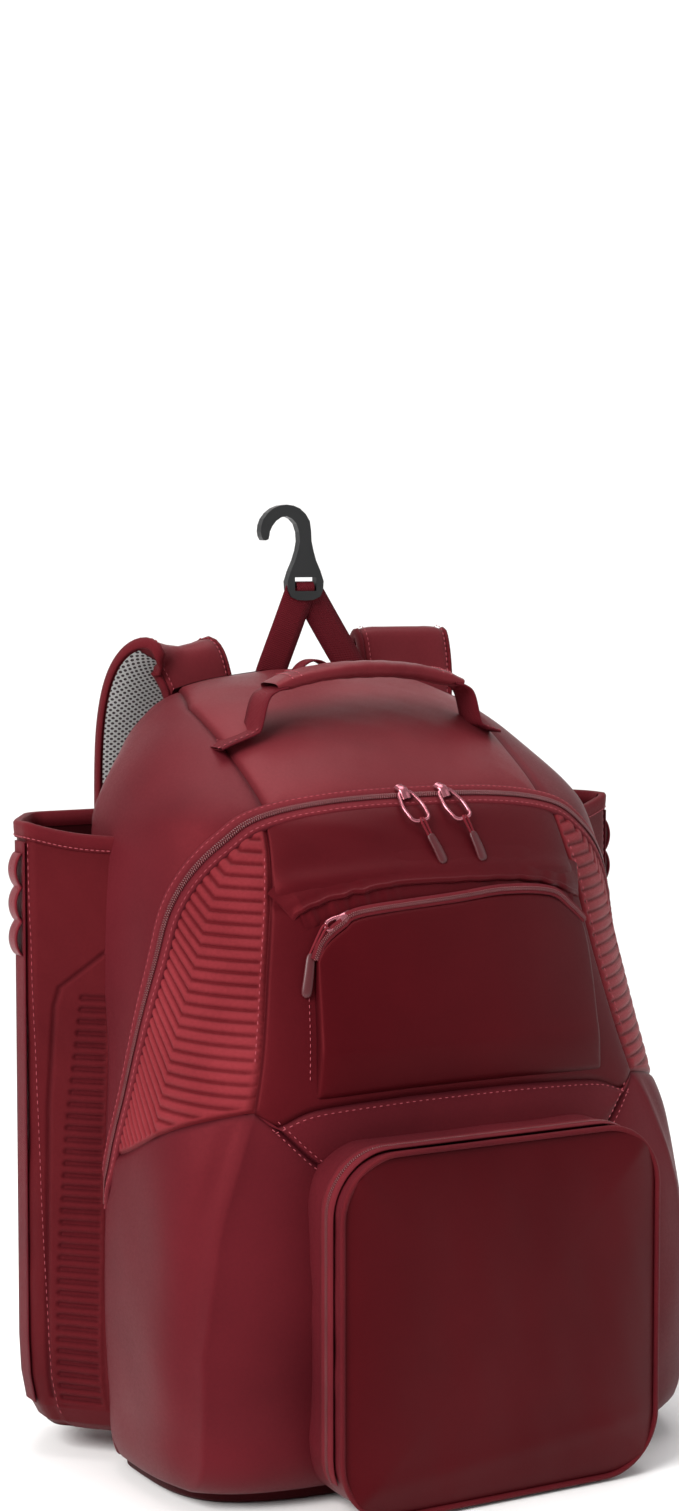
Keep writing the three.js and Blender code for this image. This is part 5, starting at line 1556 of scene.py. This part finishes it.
def slider(name, x, z, ring_end, cord_end, tab_end, nodes, width=15.0):
    start, out = front_point(x, z, 3.4)
    far, _ = front_point(*ring_end, 5.0)
    along = unit(far - start)
    side = unit(np.cross(out, along))
    length = float(np.linalg.norm(far - start))
    # The ring's outline: narrow at the slider, wide and rounded at its foot.
    half = [(0, 0, 0), (width * 0.30, 0, 2.5), (width * 0.5, length * 0.5, 3.0), (width * 0.42, length, 4.0)]
    outline = rounded_path(half + [(-a, b, c) for a, b, c in half[::-1]], 80)[:-1]
    ring = start + outline[:, :1] * side + outline[:, 1:] * along + out * 0.8
    loop = tube(f"{name}_ring", ring, 1.15, slider_metal, up=out, closed=True, sides=12)
    dress(loop, "slider_metal", nodes[0])
    body_line = np.stack([start - along * 5.5 - out * 0.6, start - along * 1 + out * 1.2,
                          start + along * 4.5 - out * 0.4])
    body_line = smooth_line(body_line, 16)
    block = tube(f"{name}_body", body_line, 3.6, slider_metal, up=out, sides=14, squash=0.55)
    dress(block, "slider_metal")
    knot = far - along * 1.2
    cord_stop, cord_out = front_point(*cord_end, 4.0)
    for place, shift in (("near", -1.0), ("far", 1.0)):
        cord = smooth_line([knot + side * shift * 0.6 + out * 1.6,
                            knot + along * 3 + side * shift * 1.3 + out * 1.2,
                            cord_stop + side * shift * 1.0], 24)
        piece = tube(f"{name}_cord_{place}", cord, 0.85, dark_thread, up=out, sides=8)
        dress(piece, "pull_rubber")
    stop, _ = front_point(*tab_end, 3.2)
    line = smooth_line([cord_stop - unit(stop - cord_stop) * 1.5,
                        cord_stop * 0.5 + stop * 0.5 + cord_out * 0.6, stop], 40)
    s = np.linspace(0, 1, 40)
    wide = 3.3 * np.sqrt(np.clip(1 - ((s - 0.5) / 0.5) ** 8, 0.02, 1)) * (0.82 + 0.22 * s)
    t = tangents(line)
    sd = unit(np.cross(cord_out, t))
    up = unit(np.cross(t, sd))
    a = np.linspace(0, 2 * math.pi, 20, endpoint=False)
    across = np.cos(a)[None, :, None] * sd[:, None] * wide[:, None, None]
    tall = signed_power(np.sin(a), 0.7)[None, :, None] * up[:, None] * wide[:, None, None] * 0.5
    p = line[:, None] + across + tall
    tab = new_object(f"{name}_tab", p, grid_faces(40, 20, wrap=True)[:, ::-1], pull_rubber)
    dress(tab, "pull_rubber", nodes[1])


slider("main_slider_left", -9, 409, (-5, 393), (-1, 385), (5, 369), ("zip_slider_left", "zip_pull_left"))
slider("main_slider_right", 19, 409, (25, 393), (29, 385), (33, 369),
       ("zip_slider_right", "zip_pull_right"))
slider("chest_slider_piece", -68, 341, (-80, 336), (-90, 321), (-96, 297),
       ("chest_slider", "chest_pull"), width=6.5)
print("sliders made")

# %% [markdown]
# ## The studio
#
# A pale floor that runs up behind the bag, one large soft light from the upper left and front, a weaker
# one from the right and one above, and the camera where the photograph was taken from.

# %% Floor, lights and camera


def backdrop():
    """A floor of 6 m with a wall that rises behind in a quarter circle."""
    across = np.linspace(-4.0, 4.0, 5)
    turn = np.linspace(0, np.pi / 2, 24)
    profile = np.vstack([[(-5.0, 0.0), (0.0, 0.0)],
                         np.stack([1.6 + 1.2 * np.sin(turn), 1.2 - 1.2 * np.cos(turn)], axis=1),
                         [(2.8, 5.0)]])
    heading = np.radians(29.0)
    a, b = np.meshgrid(across, np.arange(len(profile)))
    run = profile[b, 0]
    x = a * np.cos(heading) + run * np.sin(heading)
    y = -a * np.sin(heading) + run * np.cos(heading)
    points = np.stack([x, y, profile[b, 1]], axis=-1) * 1000 - (0, BACK, 0)
    floor = new_object("studio_floor", points, grid_faces(len(profile), len(across)), floor_paper)


def area_light(name, place, aim, size, power, colour):
    data = bpy.data.lights.new(name, "AREA")
    data.shape = "RECTANGLE"
    data.size, data.size_y = size
    data.energy = power
    data.color = colour
    obj = bpy.data.objects.new(name, data)
    obj.location = place
    look_at(obj, aim)
    bpy.context.scene.collection.objects.link(obj)


def look_at(obj, aim):
    direction = Vector(aim) - obj.location
    obj.rotation_euler = direction.to_track_quat("-Z", "Y").to_euler()


# The camera's focal length and the photograph's height are in pixels, its sensor in millimetres.
FOCAL, PHOTO_HIGH, SENSOR = 2750.0, 1511.0, 36.0


def photo_camera():
    data = bpy.data.cameras.new("photo_camera")
    data.sensor_width = SENSOR
    data.lens = FOCAL / PHOTO_HIGH * SENSOR
    obj = bpy.data.objects.new("photo_camera", data)
    obj.location = (-0.851, (BACK - 1609.0) / 1000, 0.5615)
    look_at(obj, (-0.015, (BACK - 100.0) / 1000, 0.430))
    bpy.context.scene.collection.objects.link(obj)
    bpy.context.scene.camera = obj


floor_paper = moulded("floor_paper", "fbfbfb", "f8f8f8", 0.9)
backdrop()
area_light("key", (-2.5, -1.0, 2.1), (0, 0, 0.25), (1.6, 1.6), 120, (1.0, 0.985, 0.97))
area_light("fill", (2.2, -1.5, 1.2), (0, 0, 0.25), (1.6, 2.0), 10, (0.97, 0.98, 1.0))
area_light("above", (0.1, 0.2, 2.6), (0, 0, 0.3), (1.6, 1.6), 38, (1.0, 1.0, 1.0))
world = bpy.data.worlds.new("studio_air")
world.use_nodes = True
world.node_tree.nodes["Background"].inputs["Color"].default_value = (1, 1, 1, 1)
world.node_tree.nodes["Background"].inputs["Strength"].default_value = 0.42
bpy.context.scene.world = world
photo_camera()
bpy.context.scene.view_settings.view_transform = "Standard"

# %% [markdown]
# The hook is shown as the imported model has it, with rounded edges, so it takes its material here. Any
# other node that still shows takes the body's cloth.

# %% Materials of the model's own nodes that stay
KEPT = {"hang_hook": hook_plastic}
for node, obj in frame["nodes"].items():
    if not obj.hide_render:
        obj.data.materials.clear()
        obj.data.materials.append(KEPT.get(node, body_cloth))
